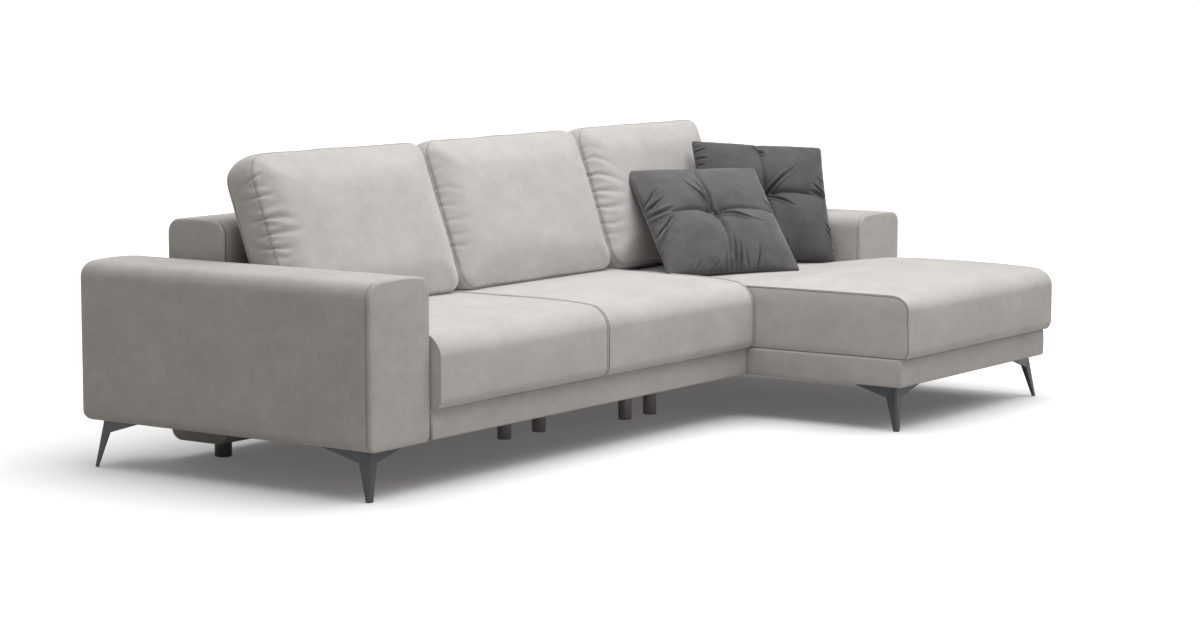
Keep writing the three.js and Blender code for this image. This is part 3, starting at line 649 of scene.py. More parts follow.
def recess(points, bottom, low, high):
    """Raises the points of the underside that lie between two corners, for the dust cover."""
    for point in points:
        inside = low[0] <= point[0] <= high[0] and low[1] <= point[1] <= high[1]
        if inside and point[2] < bottom + underside_reach:
            point[2] += dust_recess


def arm_section(side):
    """The size and the middle of an arm seen from the front, and what puts its outline in place."""
    low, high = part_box(f"{side}_arm_cover")
    panel_low, panel_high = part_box(f"{side}_arm_front_panel")
    size = (high.x - low.x, panel_high.z - panel_low.z)
    middle = ((low.x + high.x) / 2, (panel_low.z + panel_high.z) / 2)

    def place(across, along, up):
        return [middle[0] + across, along, middle[1] + up + top_crown(across, up, size, arm_crown)]

    return size, middle, place


def make_arm_panel(side):
    low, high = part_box(f"{side}_arm_front_panel")
    size, middle, place = arm_section(side)
    profile = end_profile(low.y, arm_bevel, size[0] / 2, 1)
    profile += [(high.y - inset, depth) for depth, inset in reversed(bend(seam_round, seam_steps))]
    points, faces = body_between(profile, size, arm_radii[side], arm_spacing, 0, place)
    crown_face(points, 1, low.y, -1, middle, size)
    panel = new_piece(f"{side}_arm_panel_skin", points, faces, base_body, "upholstery")
    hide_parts(f"{side}_arm_front_panel")


def make_arm_wrap(side):
    low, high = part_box(f"{side}_arm_cover")
    panel_low, panel_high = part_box(f"{side}_arm_front_panel")
    size, middle, place = arm_section(side)
    half = size[0] / 2
    start = panel_high.y + panel_gap
    mouth = high.y - arm_lip
    rear = high.y + arm_rear_swell
    profile = [(start, half * end_shares[0]), (start, seam_round * 2)]
    profile += [(start + depth, inset) for depth, inset in bend(seam_round, seam_steps)]
    lip_rings = [mouth - lip_step, mouth]
    rings = stations_between(start + arm_first_ring, rear - arm_rear_round, arm_ring_spacing, lip_rings)
    profile += [(y, 0) for y in rings]
    profile += reversed(end_profile(rear, arm_rear_round, half, -1))
    points, faces = body_between(profile, size, arm_radii[side], arm_spacing, arm_lip, place)
    crown_face(points, 1, rear, 1, middle, size)
    recess_low = (low.x + arm_lip, start + arm_recess_start)
    recess(points, panel_low.z, recess_low, (high.x - arm_lip, mouth - lip_step / 2))
    wrap = new_piece(f"{side}_arm_wrap", points, faces, base_body, "upholstery")
    waved(wrap, arm_wave, arm_wave_scale, arm_wave_seeds[side])
    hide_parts(f"{side}_arm_cover")


def make_arm_seam(side):
    size, _, place = arm_section(side)
    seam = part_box(f"{side}_arm_front_panel")[1].y
    loop = rounded_outline(*size, arm_radii[side], seam_sink, arm_seam_spacing)
    path = [place(across, seam, up) for across, up in loop]
    tube(f"{side}_arm_seam", path, seam_radius, base_body, "upholstery", piping)


def block_profile(left, right, half):
    """Places along and insets of the back block's rings, between its left and its right end."""
    groove = [(block_bevel + place, depth) for place, depth in block_groove]
    start = left + block_bevel + block_first_ring
    end = right - block_bevel - block_first_ring
    lips = [left + block_lip, left + block_lip + lip_step, right - block_lip - lip_step, right - block_lip]
    profile = end_profile(left, block_bevel, half, 1)
    profile += [(left + place, inset) for place, inset in groove]
    profile += [(x, 0) for x in stations_between(start, end, block_ring_spacing, lips)]
    profile += [(right - place, inset) for place, inset in reversed(groove)]
    profile += reversed(end_profile(right, block_bevel, half, -1))
    return profile


def make_back():
    low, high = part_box("back_cover")
    size = (high.y - low.y, high.z - low.z)
    middle = ((low.y + high.y) / 2, (low.z + high.z) / 2)

    def place(across, along, up):
        return [along, middle[0] + across, middle[1] + up + top_crown(across, up, size, block_crown)]

    profile = block_profile(low.x, high.x, size[0] / 2)
    points, faces = body_between(profile, size, block_radii, block_spacing, block_lip, place)
    crown_face(points, 0, low.x, -1, middle, size)
    crown_face(points, 0, high.x, 1, middle, size)
    recess_low = (low.x + block_lip + lip_step / 2, low.y + block_lip - lip_step)
    recess_high = (high.x - block_lip - lip_step / 2, high.y - block_lip + lip_step)
    recess(points, low.z, recess_low, recess_high)
    block = new_piece("back_block", points, faces, base_body, "upholstery")
    waved(block, block_wave, block_wave_scale, block_wave_seed)
    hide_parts("back_cover")
    loop = rounded_outline(*size, block_radii, seam_sink, block_seam_spacing)
    left = low.x + block_bevel + block_seam_place
    right = high.x - block_bevel - block_seam_place
    for name, x in (("left", left), ("right", right)):
        path = [place(across, x, up) for across, up in loop]
        tube(f"back_{name}_seam", path, seam_radius, base_body, "upholstery", seam_thread)


# Bases

base_skin = 0.008
base_lip_skin = 0.006
base_under_skin = 0.003
base_round = 0.006
base_steps = 4
base_lip = 0.065
base_bulge = 0.0015
bulge_steps = 8
base_closing_share = 0.9
rail_ends = (0.003, 0.006)
rail_points = 88
chaise_left_corner = 0.007
chaise_left_steps = 6
chaise_right_corner = 0.020
chaise_right_steps = 8
smallest_turn = 0.0004
corner_clearance = 0.09
chaise_left_points = 30
chaise_front_points = 44
chaise_right_points = 28


def band_section(bottom, top):
    """Insets and heights round the section of a rail's cover, lips included."""
    section = [(base_lip, bottom)]
    section += [(inset, bottom + depth) for depth, inset in bend(base_round, base_steps)]
    for step in range(1, bulge_steps):
        share = step / bulge_steps
        z = bottom + base_round + (top - bottom - 2 * base_round) * share
        section.append((-base_bulge * math.sin(math.pi * share), z))
    section += [(inset, top - depth) for depth, inset in reversed(bend(base_round, base_steps))]
    section += [(base_lip, top), (base_lip, top - base_lip_skin), (base_skin, top - base_lip_skin)]
    section += [(base_skin, bottom + base_under_skin), (base_lip, bottom + base_under_skin)]
    return section


def make_band(name, node, outline):
    """A rail's cover, whose outline gives its plan at an inset as an open run of points."""
    low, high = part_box(node)
    rings = []
    for inset, z in band_section(low.z, high.z):
        ring = [(x, y, z) for x, y in outline(inset)]
        if inset == base_skin:
            # The ends are closed across, so that the frame inside doesn't show
            closed = [(x, y, z) for x, y in outline(base_lip * base_closing_share)]
            ring = closed[:2] + ring[2:-2] + closed[-2:]
        rings.append(ring)
    count = len(rings[0])
    starts = [row * count for row in range(len(rings))]
    points = [point for ring in rings for point in ring]
    faces = []
    for start, after in zip(starts, starts[1:] + starts[:1]):
        for step in range(count - 1):
            a = start + step
            b = after + step
            faces.append((a, a + 1, b + 1, b))
    faces.append(starts)
    faces.append([start + count - 1 for start in starts])
    piece = new_piece(name, points, faces, base_body, "upholstery")
    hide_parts(node)


def seat_rail_plan(inset):
    low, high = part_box("seat_front_rail_cover")
    first, second = rail_ends
    between = np.linspace(low.x + second, high.x - second, rail_points)
    xs = [low.x, low.x + first, *between, high.x - first, high.x]
    return [(x, low.y + inset) for x in xs]


def corner_points(corner, radius, inset, start_angle, steps):
    """Points round a corner of a plan, given where its sharp corner is."""
    turn = max(radius - inset, smallest_turn)
    across = math.copysign(1, math.cos(start_angle + math.pi / 4))
    down = math.copysign(1, math.sin(start_angle + math.pi / 4))
    middle = (corner[0] - across * (inset + turn), corner[1] - down * (inset + turn))
    made = []
    for step in range(steps + 1):
        angle = start_angle + math.pi / 2 * step / steps
        made.append((middle[0] + turn * math.cos(angle), middle[1] + turn * math.sin(angle)))
    return made


def chaise_plan(inset):
    low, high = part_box("chaise_base_cover")
    left = low.x + corner_clearance
    right = high.x - corner_clearance
    front = low.y + corner_clearance
    plan = [(low.x + inset, y) for y in np.linspace(high.y, front, chaise_left_points)]
    plan += corner_points((low.x, low.y), chaise_left_corner, inset, math.pi, chaise_left_steps)
    plan += [(x, low.y + inset) for x in np.linspace(left, right, chaise_front_points)]
    plan += corner_points((high.x, low.y), chaise_right_corner, inset, -math.pi / 2, chaise_right_steps)
    plan += [(high.x - inset, y) for y in np.linspace(front, high.y, chaise_right_points)]
    return plan


# Seat and chaise cushions

soft_gap = 0.003
seat_spacing = 0.013
seat_side_steps = 4
seat_round_steps = 8
seat_side_round = 0.0036
seat_front_round = 0.068
seat_low_front_round = 0.026
seat_rear_round = 0.040
seat_low_round = 0.034
seat_top_round = 0.060
seat_crown = 0.024
seat_edge_share = 0.9
seat_crown_rise = 0.006
seat_front_bulge = 0.006
seat_wave = 0.0022
seat_wave_scale = 3.2
bulge_reach_share = 0.8
crown_side_power = 3
crown_end_power = 5
tape_half_width = 0.0026
tape_half_thickness = 0.0020
tape_groove = 0.0012
groove_offset = 0.0042
groove_reach = 0.0022
thread_radius = 0.0009
chaise_crown = 0.038
chaise_crown_rise = 0.014
chaise_side_round = 0.008
chaise_front_round = 0.066
chaise_top_round = 0.052
chaise_front_bulge = 0.008
chaise_right_edge_share = 0.35
chaise_wave_scale = 2.6
chaise_wave_seed = 9
chaise_seam_line = 2
chaise_tape_line = 4
arm_edge_drop = 0.010
arm_edge_reach = 0.035
dent_depth = 0.022
dent_middle = (0.80, 0.10)
dent_reach = (0.50, 0.36)
# Where the dent's slope starts and ends, in shares of its reach
dent_slope_shares = (0.95, 1.45)


def axis_lines(low, high, low_round, high_round, steps, extra):
    """Grid lines along one axis: rows that bend round each end, and even cells between them."""
    shares = [math.tan(math.pi / 4 * step / steps) for step in range(1, steps + 1)]
    first = low + low_round
    last = high - high_round
    flat = list(np.linspace(first, last, max(2, round((last - first) / seat_spacing) + 1)))
    flat += extra
    before = [first - low_round * share for share in reversed(shares)]
    after = [last + high_round * share for share in shares]
    return before + sorted(flat) + after


def block_surface(lines, solid):
    """The outer faces of the solid cells between the grid lines of each axis."""
    numbers = {}
    keys = []
    faces = []
    for axis in range(3):
        across = (axis + 1) % 3
        along = (axis + 2) % 3
        change = np.diff(np.pad(solid, 1).astype(int), axis=axis)
        for cell in zip(*np.nonzero(change)):
            corner = [int(index) - 1 for index in cell]
            corner[axis] += 1
            ring = []
            for step_across, step_along in ((0, 0), (1, 0), (1, 1), (0, 1)):
                key = list(corner)
                key[across] += step_across
                key[along] += step_along
                key = tuple(key)
                if key not in numbers:
                    numbers[key] = len(keys)
                    keys.append(key)
                ring.append(numbers[key])
            faces.append(ring if change[cell] < 0 else ring[::-1])
    points = [[lines[axis][key[axis]] for axis in range(3)] for key in keys]
    return np.array(points), faces, keys


def rounded_to(points, low, high, low_round, high_round, low_front):
    """Rounds the points of a block's surface about its edges, with its own depth for the lower front."""
    lower = points[:, 2] < (low[2] + high[2]) / 2
    low_round = np.tile(low_round, (len(points), 1))
    low_round[lower, 1] = low_front
    inner_low = np.array(low) + low_round
    inner_high = np.array(high) - np.array(high_round)
    inner = np.clip(points, inner_low, inner_high)
    offset = points - inner
    radius = np.where(offset < 0, low_round, np.array(high_round))
    share = offset / radius
    reach = np.linalg.norm(share, axis=1)
    full = np.abs(share).max(axis=1)
    factor = np.where(reach > tiny, full / np.maximum(reach, tiny), 1)
    return inner + share * radius * factor[:, None]


def rounded_block(low, high, low_round, high_round, at_x, cut=None):
    """A cushion's block, with a corner cut out where it has one, and rounded about its edges.

    Gives the grid lines, the sharp and the rounded points, the faces and the points' keys.
    """
    extra = (at_x, [cut[1]] if cut else [], [])
    steps = (seat_side_steps, seat_round_steps, seat_round_steps)
    lines = [
        axis_lines(low[axis], high[axis], low_round[axis], high_round[axis], steps[axis], extra[axis])
        for axis in range(3)
    ]
    solid = np.ones([len(line) - 1 for line in lines], dtype=bool)
    if cut:
        solid[lines[0].index(cut[0]):, lines[1].index(cut[1]):, :] = False
    sharp, faces, keys = block_surface(lines, solid)
    points = rounded_to(sharp, low, high, low_round, high_round, seat_low_front_round)
    return lines, sharp, points, faces, keys


def smooth_step(value, low, high):
    share = np.clip((value - low) / (high - low), 0, 1)
    return share * share * (3 - 2 * share)


def shares_from_middle(points, low, high):
    middle = (np.array(low) + np.array(high)) / 2
    half = (np.array(high) - np.array(low)) / 2
    return (points - middle) / half


def crown_rises(share, crown, edge_share):
    """How far each point rises for a crown that keeps a share of its height at its sides."""
    across = edge_share + (1 - edge_share) * fullness(share[:, 0], crown_side_power)
    return crown * across * fullness(share[:, 1], crown_end_power)


def fill_out(points, share, rises, low, top, front_round, bulge):
    """Lifts the upper half of a cushion by its rises, and swells the middle of its front."""
    points[:, 2] += rises * smooth_step(points[:, 2], (low.z + top) / 2, top)
    front = points[:, 1] < low.y + front_round * bulge_reach_share
    swell = bulge * fullness(share[:, 0], 4) * fullness(share[:, 2], 2)
    points[:, 1] -= np.where(front, swell, 0)


def nearest_line(lines, place):
    return min(range(len(lines)), key=lambda number: abs(lines[number] - place))


def loop_at(piece, keys, number):
    """The piece's points on one upright grid line across it, in order round it."""
    places = points_of(piece)
    chosen = [index for index, key in enumerate(keys) if key[0] == number]
    lines = np.array([keys[index][1:] for index in chosen])
    outer = np.concatenate([lines.min(axis=0), lines.max(axis=0)])
    on_rim = [
        index for index, (u, v) in zip(chosen, lines)
        if u in (outer[0], outer[2]) or v in (outer[1], outer[3])
    ]
    middle = places[on_rim].mean(axis=0)
    beside = places[on_rim] - middle
    angles = np.arctan2(beside[:, 2], beside[:, 1])
    return [Vector(places[index]) for _, index in sorted(zip(angles, on_rim))]


def add_tape(cushion, name, keys, number):
    """A flat cord in the cushion's own cloth, on one upright grid line round it."""
    path = loop_at(cushion, keys, number)
    body = cushion.name.removesuffix("_pad")
    tube(
        name, path, tape_half_width, body, "cushion_upholstery",
        thickness=tape_half_thickness, across=Vector((1, 0, 0)),
    )


def make_seat_cushion(index):
    """A crowned block with a taped and grooved seam along each side."""
    node = f"seat_cushion_{index}"
    low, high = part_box(f"{node}_cover")
    top = high.z + seat_crown_rise - seat_crown
    low_round = (seat_side_round, seat_front_round, seat_low_round)
    high_round = (seat_side_round, seat_rear_round, seat_top_round)
    tapes = [low.x + seat_side_round, high.x - seat_side_round]
    grooves = [tape + side * groove_offset for tape in tapes for side in (-1, 1)]
    inside = [groove for groove in grooves if tapes[0] < groove < tapes[1]]
    corner = (high.x, high.y, top)
    lines, sharp, points, faces, keys = rounded_block(low, corner, low_round, high_round, inside)
    share = shares_from_middle(points, low, high)
    rises = crown_rises(share, seat_crown, seat_edge_share)
    fill_out(points, share, rises, low, top, seat_front_round, seat_front_bulge)
    cushion = new_piece(f"{node}_pad", points, faces, node, "cushion_upholstery")
    waved(cushion, seat_wave, seat_wave_scale, index)
    sunk = np.zeros(len(points))
    for groove in grooves:
        sunk = np.maximum(sunk, np.exp(-(((sharp[:, 0] - groove) / groove_reach) ** 2)))
    sink(cushion, tape_groove * sunk)
    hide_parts(f"{node}_cover", f"{node}_core")
    for side, tape, groove in (("left", tapes[0], inside[0]), ("right", tapes[1], inside[-1])):
        add_tape(cushion, f"{node}_seam_{side}", keys, nearest_line(lines[0], tape))
        path = loop_at(cushion, keys, nearest_line(lines[0], groove))
        name = f"{node}_thread_{side}"
        tube(name, path, thread_radius, node, "cushion_upholstery", cushion_thread)


def chaise_rises(points, share, cut_x, cut_y):
    """The chaise cushion's crown, less where it is pressed in and where it goes round the arm."""
    edge_share = np.where(share[:, 0] > 0, chaise_right_edge_share, 0)
    rises = crown_rises(share, chaise_crown, edge_share)
    pressed = np.hypot(
        (points[:, 0] - dent_middle[0]) / dent_reach[0],
        (points[:, 1] - dent_middle[1]) / dent_reach[1],
    )
    dent = dent_depth * (1 - smooth_step(pressed, *dent_slope_shares))
    rises -= dent * fullness(share[:, 0], crown_side_power)
    to_arm = np.hypot(np.maximum(cut_x - points[:, 0], 0), np.maximum(cut_y - points[:, 1], 0))
    return rises - arm_edge_drop * np.exp(-((to_arm / arm_edge_reach) ** 2))


def make_chaise_cushion():
    """A long crowned block round the right arm, with a seam and a tape near each side."""
    node = "chaise_cushion"
    low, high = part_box(f"{node}_cover")
    arm_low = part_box("right_arm_front_panel")[0]
    cut = (arm_low.x - soft_gap, arm_low.y - soft_gap)
    top = high.z + chaise_crown_rise - chaise_crown
    low_round = (chaise_side_round, chaise_front_round, seat_low_round)
    high_round = (chaise_side_round, seat_rear_round, chaise_top_round)
    corner = (high.x, high.y, top)
    lines, _, points, faces, keys = rounded_block(low, corner, low_round, high_round, [cut[0]], cut)
    share = shares_from_middle(points, low, high)
    rises = chaise_rises(points, share, *cut)
    fill_out(points, share, rises, low, top, chaise_front_round, chaise_front_bulge)
    cushion = new_piece(f"{node}_pad", points, faces, node, "cushion_upholstery")
    waved(cushion, seat_wave, chaise_wave_scale, chaise_wave_seed)
    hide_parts(f"{node}_cover", f"{node}_core")
    last = len(lines[0]) - 1
    for side, number in (("left", chaise_seam_line), ("right", last - chaise_seam_line)):
        path = loop_at(cushion, keys, number)
        tube(f"{node}_seam_{side}", path, seam_radius, node, "cushion_upholstery", seam_thread)
    add_tape(cushion, f"{node}_tape_left", keys, chaise_tape_line)
    add_tape(cushion, f"{node}_tape_right", keys, last - chaise_tape_line)


# Back cushions

lean = math.radians(20)
back_height = 0.524
back_rise = 0.005
back_round = 0.066
# Radii of each cushion's lower right, upper right, upper left and lower left corner
back_corners = {
    1: (back_round, back_round, 0.082, back_round),
    2: (back_round,) * 4,
    3: (back_round, 0.048, back_round, back_round),
}
seam_front = 0.056
seam_rear = 0.044
seam_inset = 0.009
front_roll = (0.110, 0.036)
rear_roll = (0.066, 0.030)
front_crown = 0.010
rear_crown = 0.044
crown_power = 2.3
seam_groove = 0.0012
seam_half_width = 0.0025
gusset_rows = 12
gusset_inset = 0.0004
gusset_power = 0.6
back_spacing = 0.0095
face_rows = 19
face_row_power = 1.6
face_reach_share = 0.97
pucker_depth = 0.0013
pucker_reach = 0.012
pucker_spacing = 0.016
pucker_seed_step = 9.7
# How deep the puckers are on average, and how much that varies, in shares of their depth
pucker_shares = (0.5, 1.5)
back_wave = 0.0035
back_wave_scale = 6
ray_start = 0.3
deepest_rest = 0.2
rest_clearance = 0.0006
back_fold_width = 0.0046
back_fold_widening = 0.04
# Distance and width of the ridges beside a fold, in widths of the fold, and their share of its depth
back_ridge_shares = (2.2, 1.3, 0.45)
# How far the stuffing may push the faces of each cushion, and the cloth between its seams
back_slack = {1: (0.012, 0.004), 2: (0.012, 0.004), 3: (0.004, 0.004)}
back_spare_share = 0.003
# Folds that cross the front seam at the left: height above the middle, reach on the face and on
# the side, slope, and depth, all but the slope in millimetres
back_folds = {
    1: [
        (186, 14, 56, -0.5, 6.0), (152, 20, 30, 0.3, 1.5), (120, 24, 52, 0.1, 5.5), (82, 44, 24, -0.1, 1.8),
        (54, 62, 56, 0.15, 7.5), (27, 24, 26, 0.5, 2.2), (-4, 74, 44, 0.1, 6.0), (-46, 44, 56, 0.4, 7.0),
        (-74, 66, 24, 0.2, 2.4), (-112, 40, 36, 0.3, 2.5), (-158, 36, 30, 0.2, 1.5),
    ],
    2: [
        (150, 40, 30, -0.3, 1.0), (84, 60, 30, 0.0, 1.8), (30, 36, 30, 0.2, 1.4), (-16, 56, 30, 0.2, 1.8),
        (-70, 40, 30, 0.3, 1.5), (-112, 52, 30, 0.35, 1.8),
    ],
    3: [
        (176, 30, 34, -0.3, 1.6), (136, 78, 30, -0.1, 4.0), (74, 90, 40, 0.1, 4.6), (22, 84, 40, 0.2, 4.2),
        (-6, 26, 30, 0.3, 1.4), (-38, 74, 40, 0.3, 4.0), (-94, 66, 40, 0.4, 2.8), (-140, 44, 40, 0.4, 1.6),
    ],
}


def roll_rise(inset, roll):
    """How far a face stands above its seam, at an inset from it."""
    reach, height = roll
    share = min(1, max(0, inset / reach))
    return height * math.sqrt(1 - (1 - share) ** 2)


def back_rows(half_z):
    """Rows from the middle of the front face to the middle of the rear face.

    Each has its depth, its inset, its crown and its distance past the front seam.
    """
    shares = [(step / face_rows) ** face_row_power for step in range(1, face_rows)]
    reach = half_z * face_reach_share - seam_half_width - seam_inset
    steps = [seam_half_width] + [seam_half_width + share * reach for share in shares]
    rows = []
    for step in reversed(steps):
        rows.append((-seam_front - roll_rise(step, front_roll), seam_inset + step, -front_crown, step))
    rows.append((-seam_front, seam_inset + seam_groove, 0, 0))
    depth = seam_front + seam_rear
    for step in range(1, gusset_rows):
        share = step / gusset_rows
        inset = seam_inset * (1 - math.sin(math.pi * share) ** gusset_power) + gusset_inset
        rows.append((depth * share - seam_front, inset, 0, -depth * share))
    rows.append((seam_rear, seam_inset + seam_groove, 0, -depth))
    for step in steps:
        rows.append((seam_rear + roll_rise(step, rear_roll), seam_inset + step, rear_crown, -depth - step))
    return rows


def back_outline(number, half_x, inset):
    return rounded_outline(2 * half_x, back_height, back_corners[number], inset, back_spacing)


def arcs_along(outline):
    """How far along an outline each of its points is."""
    arcs = [0]
    for before, after in zip(outline, outline[1:]):
        arcs.append(arcs[-1] + math.dist(before, after))
    return arcs


def make_back_cushion(number):
    """The plain form of a back cushion, sewn along both seams."""
    node = f"back_cushion_{number}"
    low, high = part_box(f"{node}_cover")
    half_x = (high.x - low.x) / 2
    half_z = back_height / 2
    rows = back_rows(half_z)
    rings = []
    for y, inset, crown, _ in rows:
        ring = []
        for x, z in back_outline(number, half_x, inset):
            full = fullness(x / half_x, crown_power) * fullness(z / half_z, crown_power)
            ring.append((x, y + crown * full, z))
        rings.append(ring)
    points, faces = lofted(rings, bridged=True)
    turn = Matrix.Rotation(-lean, 3, "X")
    points = np.array([turn @ Vector(point) for point in points])
    points[:, 0] += (low.x + high.x) / 2
    points[:, 1] += low.y - points[:, 1].min()
    points[:, 2] += high.z + back_rise - points[:, 2].max()
    cushion = new_piece(f"{node}_pad", points, faces, node, "cushion_upholstery")
    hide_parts(f"{node}_cover", f"{node}_core")
    arcs = arcs_along(back_outline(number, half_x, 0))
    past_seam = np.repeat([row[3] for row in rows], len(arcs))
    on_side = (past_seam < 0) & (past_seam > -seam_front - seam_rear)
    sewn = (past_seam == 0) | (past_seam == -seam_front - seam_rear)
    on_faces, between_seams = back_slack[number]
    slack = np.where(on_side, between_seams, on_faces)
    keep_values(cushion, arc=np.tile(arcs, len(rows)), past_seam=past_seam, slack=slack)
    sew(cushion, sewn.astype(float))
    return cushion


def finish_back_cushion(number, cushion, below):
    """Splits the stuffed form finely, folds it at its seam and lays it on the seat."""
    node = f"back_cushion_{number}"
    low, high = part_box(f"{node}_cover")
    half_x = (high.x - low.x) / 2
    outer = back_outline(number, half_x, 0)
    split_smoothly(cushion)
    arc, past_seam = kept_values(cushion, "arc", "past_seam")
    sunk = back_fold_depths(arc, past_seam, outer, half_x, back_folds[number])
    sink(cushion, sunk + puckers(arc, past_seam, number))
    waved(cushion, back_wave, back_wave_scale, number)
    rest_on(cushion, below)
    rows = back_rows(back_height / 2)
    places = points_of(cushion)
    for side, past in (("front", 0), ("rear", -seam_front - seam_rear)):
        row = [place[3] for place in rows].index(past)
        start = row * len(outer)
        path = [Vector(places[start + step]) for step in range(len(outer))]
        name = f"{node}_seam_{side}"
        tube(name, path, thread_radius, node, "cushion_upholstery", seam_thread)


def fold_section(away, width, ridge_shares):
    """The section of a fold: a valley, with a low ridge along both of its sides."""
    distance, spread, height = ridge_shares
    valley = np.exp(-((away / width) ** 2))
    ridge = np.exp(-(((away - distance * width) / (spread * width)) ** 2))
    return valley - height * ridge


def back_fold_depths(arc, past_seam, outer, half_x, folds):
    """How far the folds at the left edge sink each place."""
    sunk = np.zeros(len(arc))
    for level, on_face, on_side, slope, depth in folds:
        nearest = min(range(len(outer)), key=lambda step: math.dist(outer[step], (-half_x, level / 1000)))
        off = arc - arc[nearest] - slope * past_seam
        reach = np.where(past_seam > 0, on_face, on_side) / 1000
        fade = np.exp(-((np.abs(past_seam) / reach) ** 2))
        width = back_fold_width * (1 + np.abs(past_seam) / back_fold_widening)
        sunk += depth / 1000 * fade * fold_section(np.abs(off), width, back_ridge_shares)
    return sunk


def puckers(arc, past_seam, seed):
    """Fine gathers where the cloth is stitched along the front seam."""
    usual, varied = pucker_shares
    sunk = []
    for place, past in zip(arc, past_seam):
        value = noise.noise(Vector((place / pucker_spacing, seed * pucker_seed_step, 0)))
        sunk.append(pucker_depth * (usual + varied * value) * math.exp(-abs(past) / pucker_reach))
    return np.array(sunk)


def rest_on(piece, below):
    """Flattens the underside of a cushion where it rests on another."""
    graph = bpy.context.evaluated_depsgraph_get()
    tree = BVHTree.FromObject(below, graph)
    points = points_of(piece)
    for point in points:
        start = Vector((point[0], point[1], point[2] + ray_start))
        hit = tree.ray_cast(start, Vector((0, 0, -1)))[0]
        if hit is not None and hit.z + rest_clearance > point[2] and hit.z - point[2] < deepest_rest:
            point[2] = hit.z + rest_clearance
    set_points(piece, points)


# Scatter cushions

pillow_sides = {"front": 0.512, "rear": 0.494}
pillow_thickness = 0.156
draw_share = 0.035
corner_draw = 0.02
corner_draw_power = 26
edge_power = 0.48
tuft_share = 0.34
tuft_reach = 0.040
tuft_rise_share = 0.03
crease_share = 0.19
crease_reach = 0.0055
channel_share = 0.15
channel_reach = 0.020
lobe_share = 0.13
lobe_reach = 0.075
channel_bow = 0.03
fold_width = 0.0042
fold_gain = 1.9
fold_edge_gain = 2.2
fold_fade_power = 0.6
# The ridges beside a fold, given as those of the back cushions
fold_ridge_shares = (2.1, 1.2, 0.4)
ripple = 0.0016
ripple_spacing = 0.024
ripple_reach = 0.022
ripple_seed = 2
face_shift = 0.02
sewn_reach = 0.004
sewn_share = 0.9
pillow_slack = 0.004
pillow_spare_share = 0.0
pillow_cells = 88
pillow_spread = 1.2
pillow_seam_radius = 0.0016
# Tilt to the rear, roll, and turn about the upright, in degrees
pillow_poses = {"front": (48.3, 0.2, -32.1), "rear": (36.7, 4.5, -40.4)}
# Folds as from and to, in shares of the half side from the middle, and a depth in millimetres
pillow_folds = {
    "front": [
        ((0.00, 0.04), (-0.32, 0.62), 9),
        ((0.00, 0.05), (-0.15, 0.66), 8),
        ((0.00, 0.06), (-0.04, 0.80), 5),
        ((0.02, 0.02), (0.46, -0.17), 8),
        ((0.02, 0.00), (0.66, -0.24), 6),
        ((-0.95, 0.24), (-0.70, 0.52), 7),
        ((-0.95, 0.15), (-0.68, 0.31), 9),
        ((-0.97, 0.04), (-0.58, 0.12), 10),
        ((-0.97, -0.08), (-0.56, 0.03), 9),
        ((-0.95, -0.34), (-0.64, -0.04), 9),
        ((-0.97, -0.55), (-0.72, -0.10), 7),
        ((0.98, 0.10), (0.82, 0.26), 5),
        ((-0.16, -0.98), (-0.06, -0.72), 8),
        ((-0.07, -0.98), (0.04, -0.46), 10),
        ((0.02, -0.98), (0.11, -0.44), 11),
        ((0.08, -0.98), (0.17, -0.54), 9),
        ((0.19, -0.98), (0.22, -0.72), 7),
        ((0.32, -0.98), (0.46, -0.64), 9),
        ((-0.59, -0.98), (-0.47, -0.84), 6),
        ((-0.68, -0.98), (-0.60, -0.86), 5),
        ((-0.33, -0.98), (-0.21, -0.86), 6),
    ],
    "rear": [
        ((0.02, 0.05), (0.34, 0.38), 8),
        ((0.02, 0.05), (0.50, 0.50), 5),
        ((0.02, 0.01), (0.40, -0.22), 8),
        ((0.97, 0.05), (0.66, 0.12), 9),
        ((0.96, 0.08), (0.72, 0.24), 8),
        ((0.96, 0.30), (0.80, 0.35), 5),
        ((0.02, 0.74), (-0.14, 0.88), 7),
        ((-0.97, 0.86), (-0.88, 0.84), 5),
        ((-0.97, 0.76), (-0.82, 0.80), 7),
        ((-0.97, 0.64), (-0.82, 0.62), 7),
        ((-0.97, 0.52), (-0.86, 0.50), 6),
        ((-0.97, 0.10), (-0.62, 0.08), 8),
        ((0.97, -0.53), (0.84, -0.42), 7),
        ((0.98, -0.69), (0.86, -0.54), 8),
        ((0.98, -0.88), (0.88, -0.78), 7),
        ((0.05, -0.98), (0.08, -0.60), 9),
        ((-0.12, -0.98), (-0.04, -0.70), 7),
        ((0.20, -0.98), (0.24, -0.72), 7),
    ],
}


def fold_depths(places, start, end, depth):
    """How far a fold sinks each place, less and less towards its end."""
    along = end - start
    share = np.clip((places - start) @ along / (along @ along), 0, 1)
    away = np.linalg.norm(places - start - share[:, None] * along, axis=1)
    return depth * fold_section(away, fold_width, fold_ridge_shares) * (1 - share) ** fold_fade_power


def pillow_plan(s, t, half):
    """Places in the pillow's plane, at shares of its half side."""
    drawn = 1 - corner_draw * np.abs(s * t) ** corner_draw_power
    x = half * s * (1 - draw_share * (1 - t * t)) * drawn
    z = half * t * (1 - draw_share * (1 - s * s)) * drawn
    return x, z


def pillow_puff(s, t):
    return np.maximum(0, (1 - s * s) * (1 - t * t)) ** edge_power


def from_channels(x, z, half):
    """Distances from the upright and the level channel, which bow a little."""
    rise = tuft_rise_share * half
    beside = np.abs(x + channel_bow * half * np.sin(math.pi * z / half))
    above = np.abs(z - rise - channel_bow * half * np.sin(math.pi * np.abs(x) / half))
    return beside, above


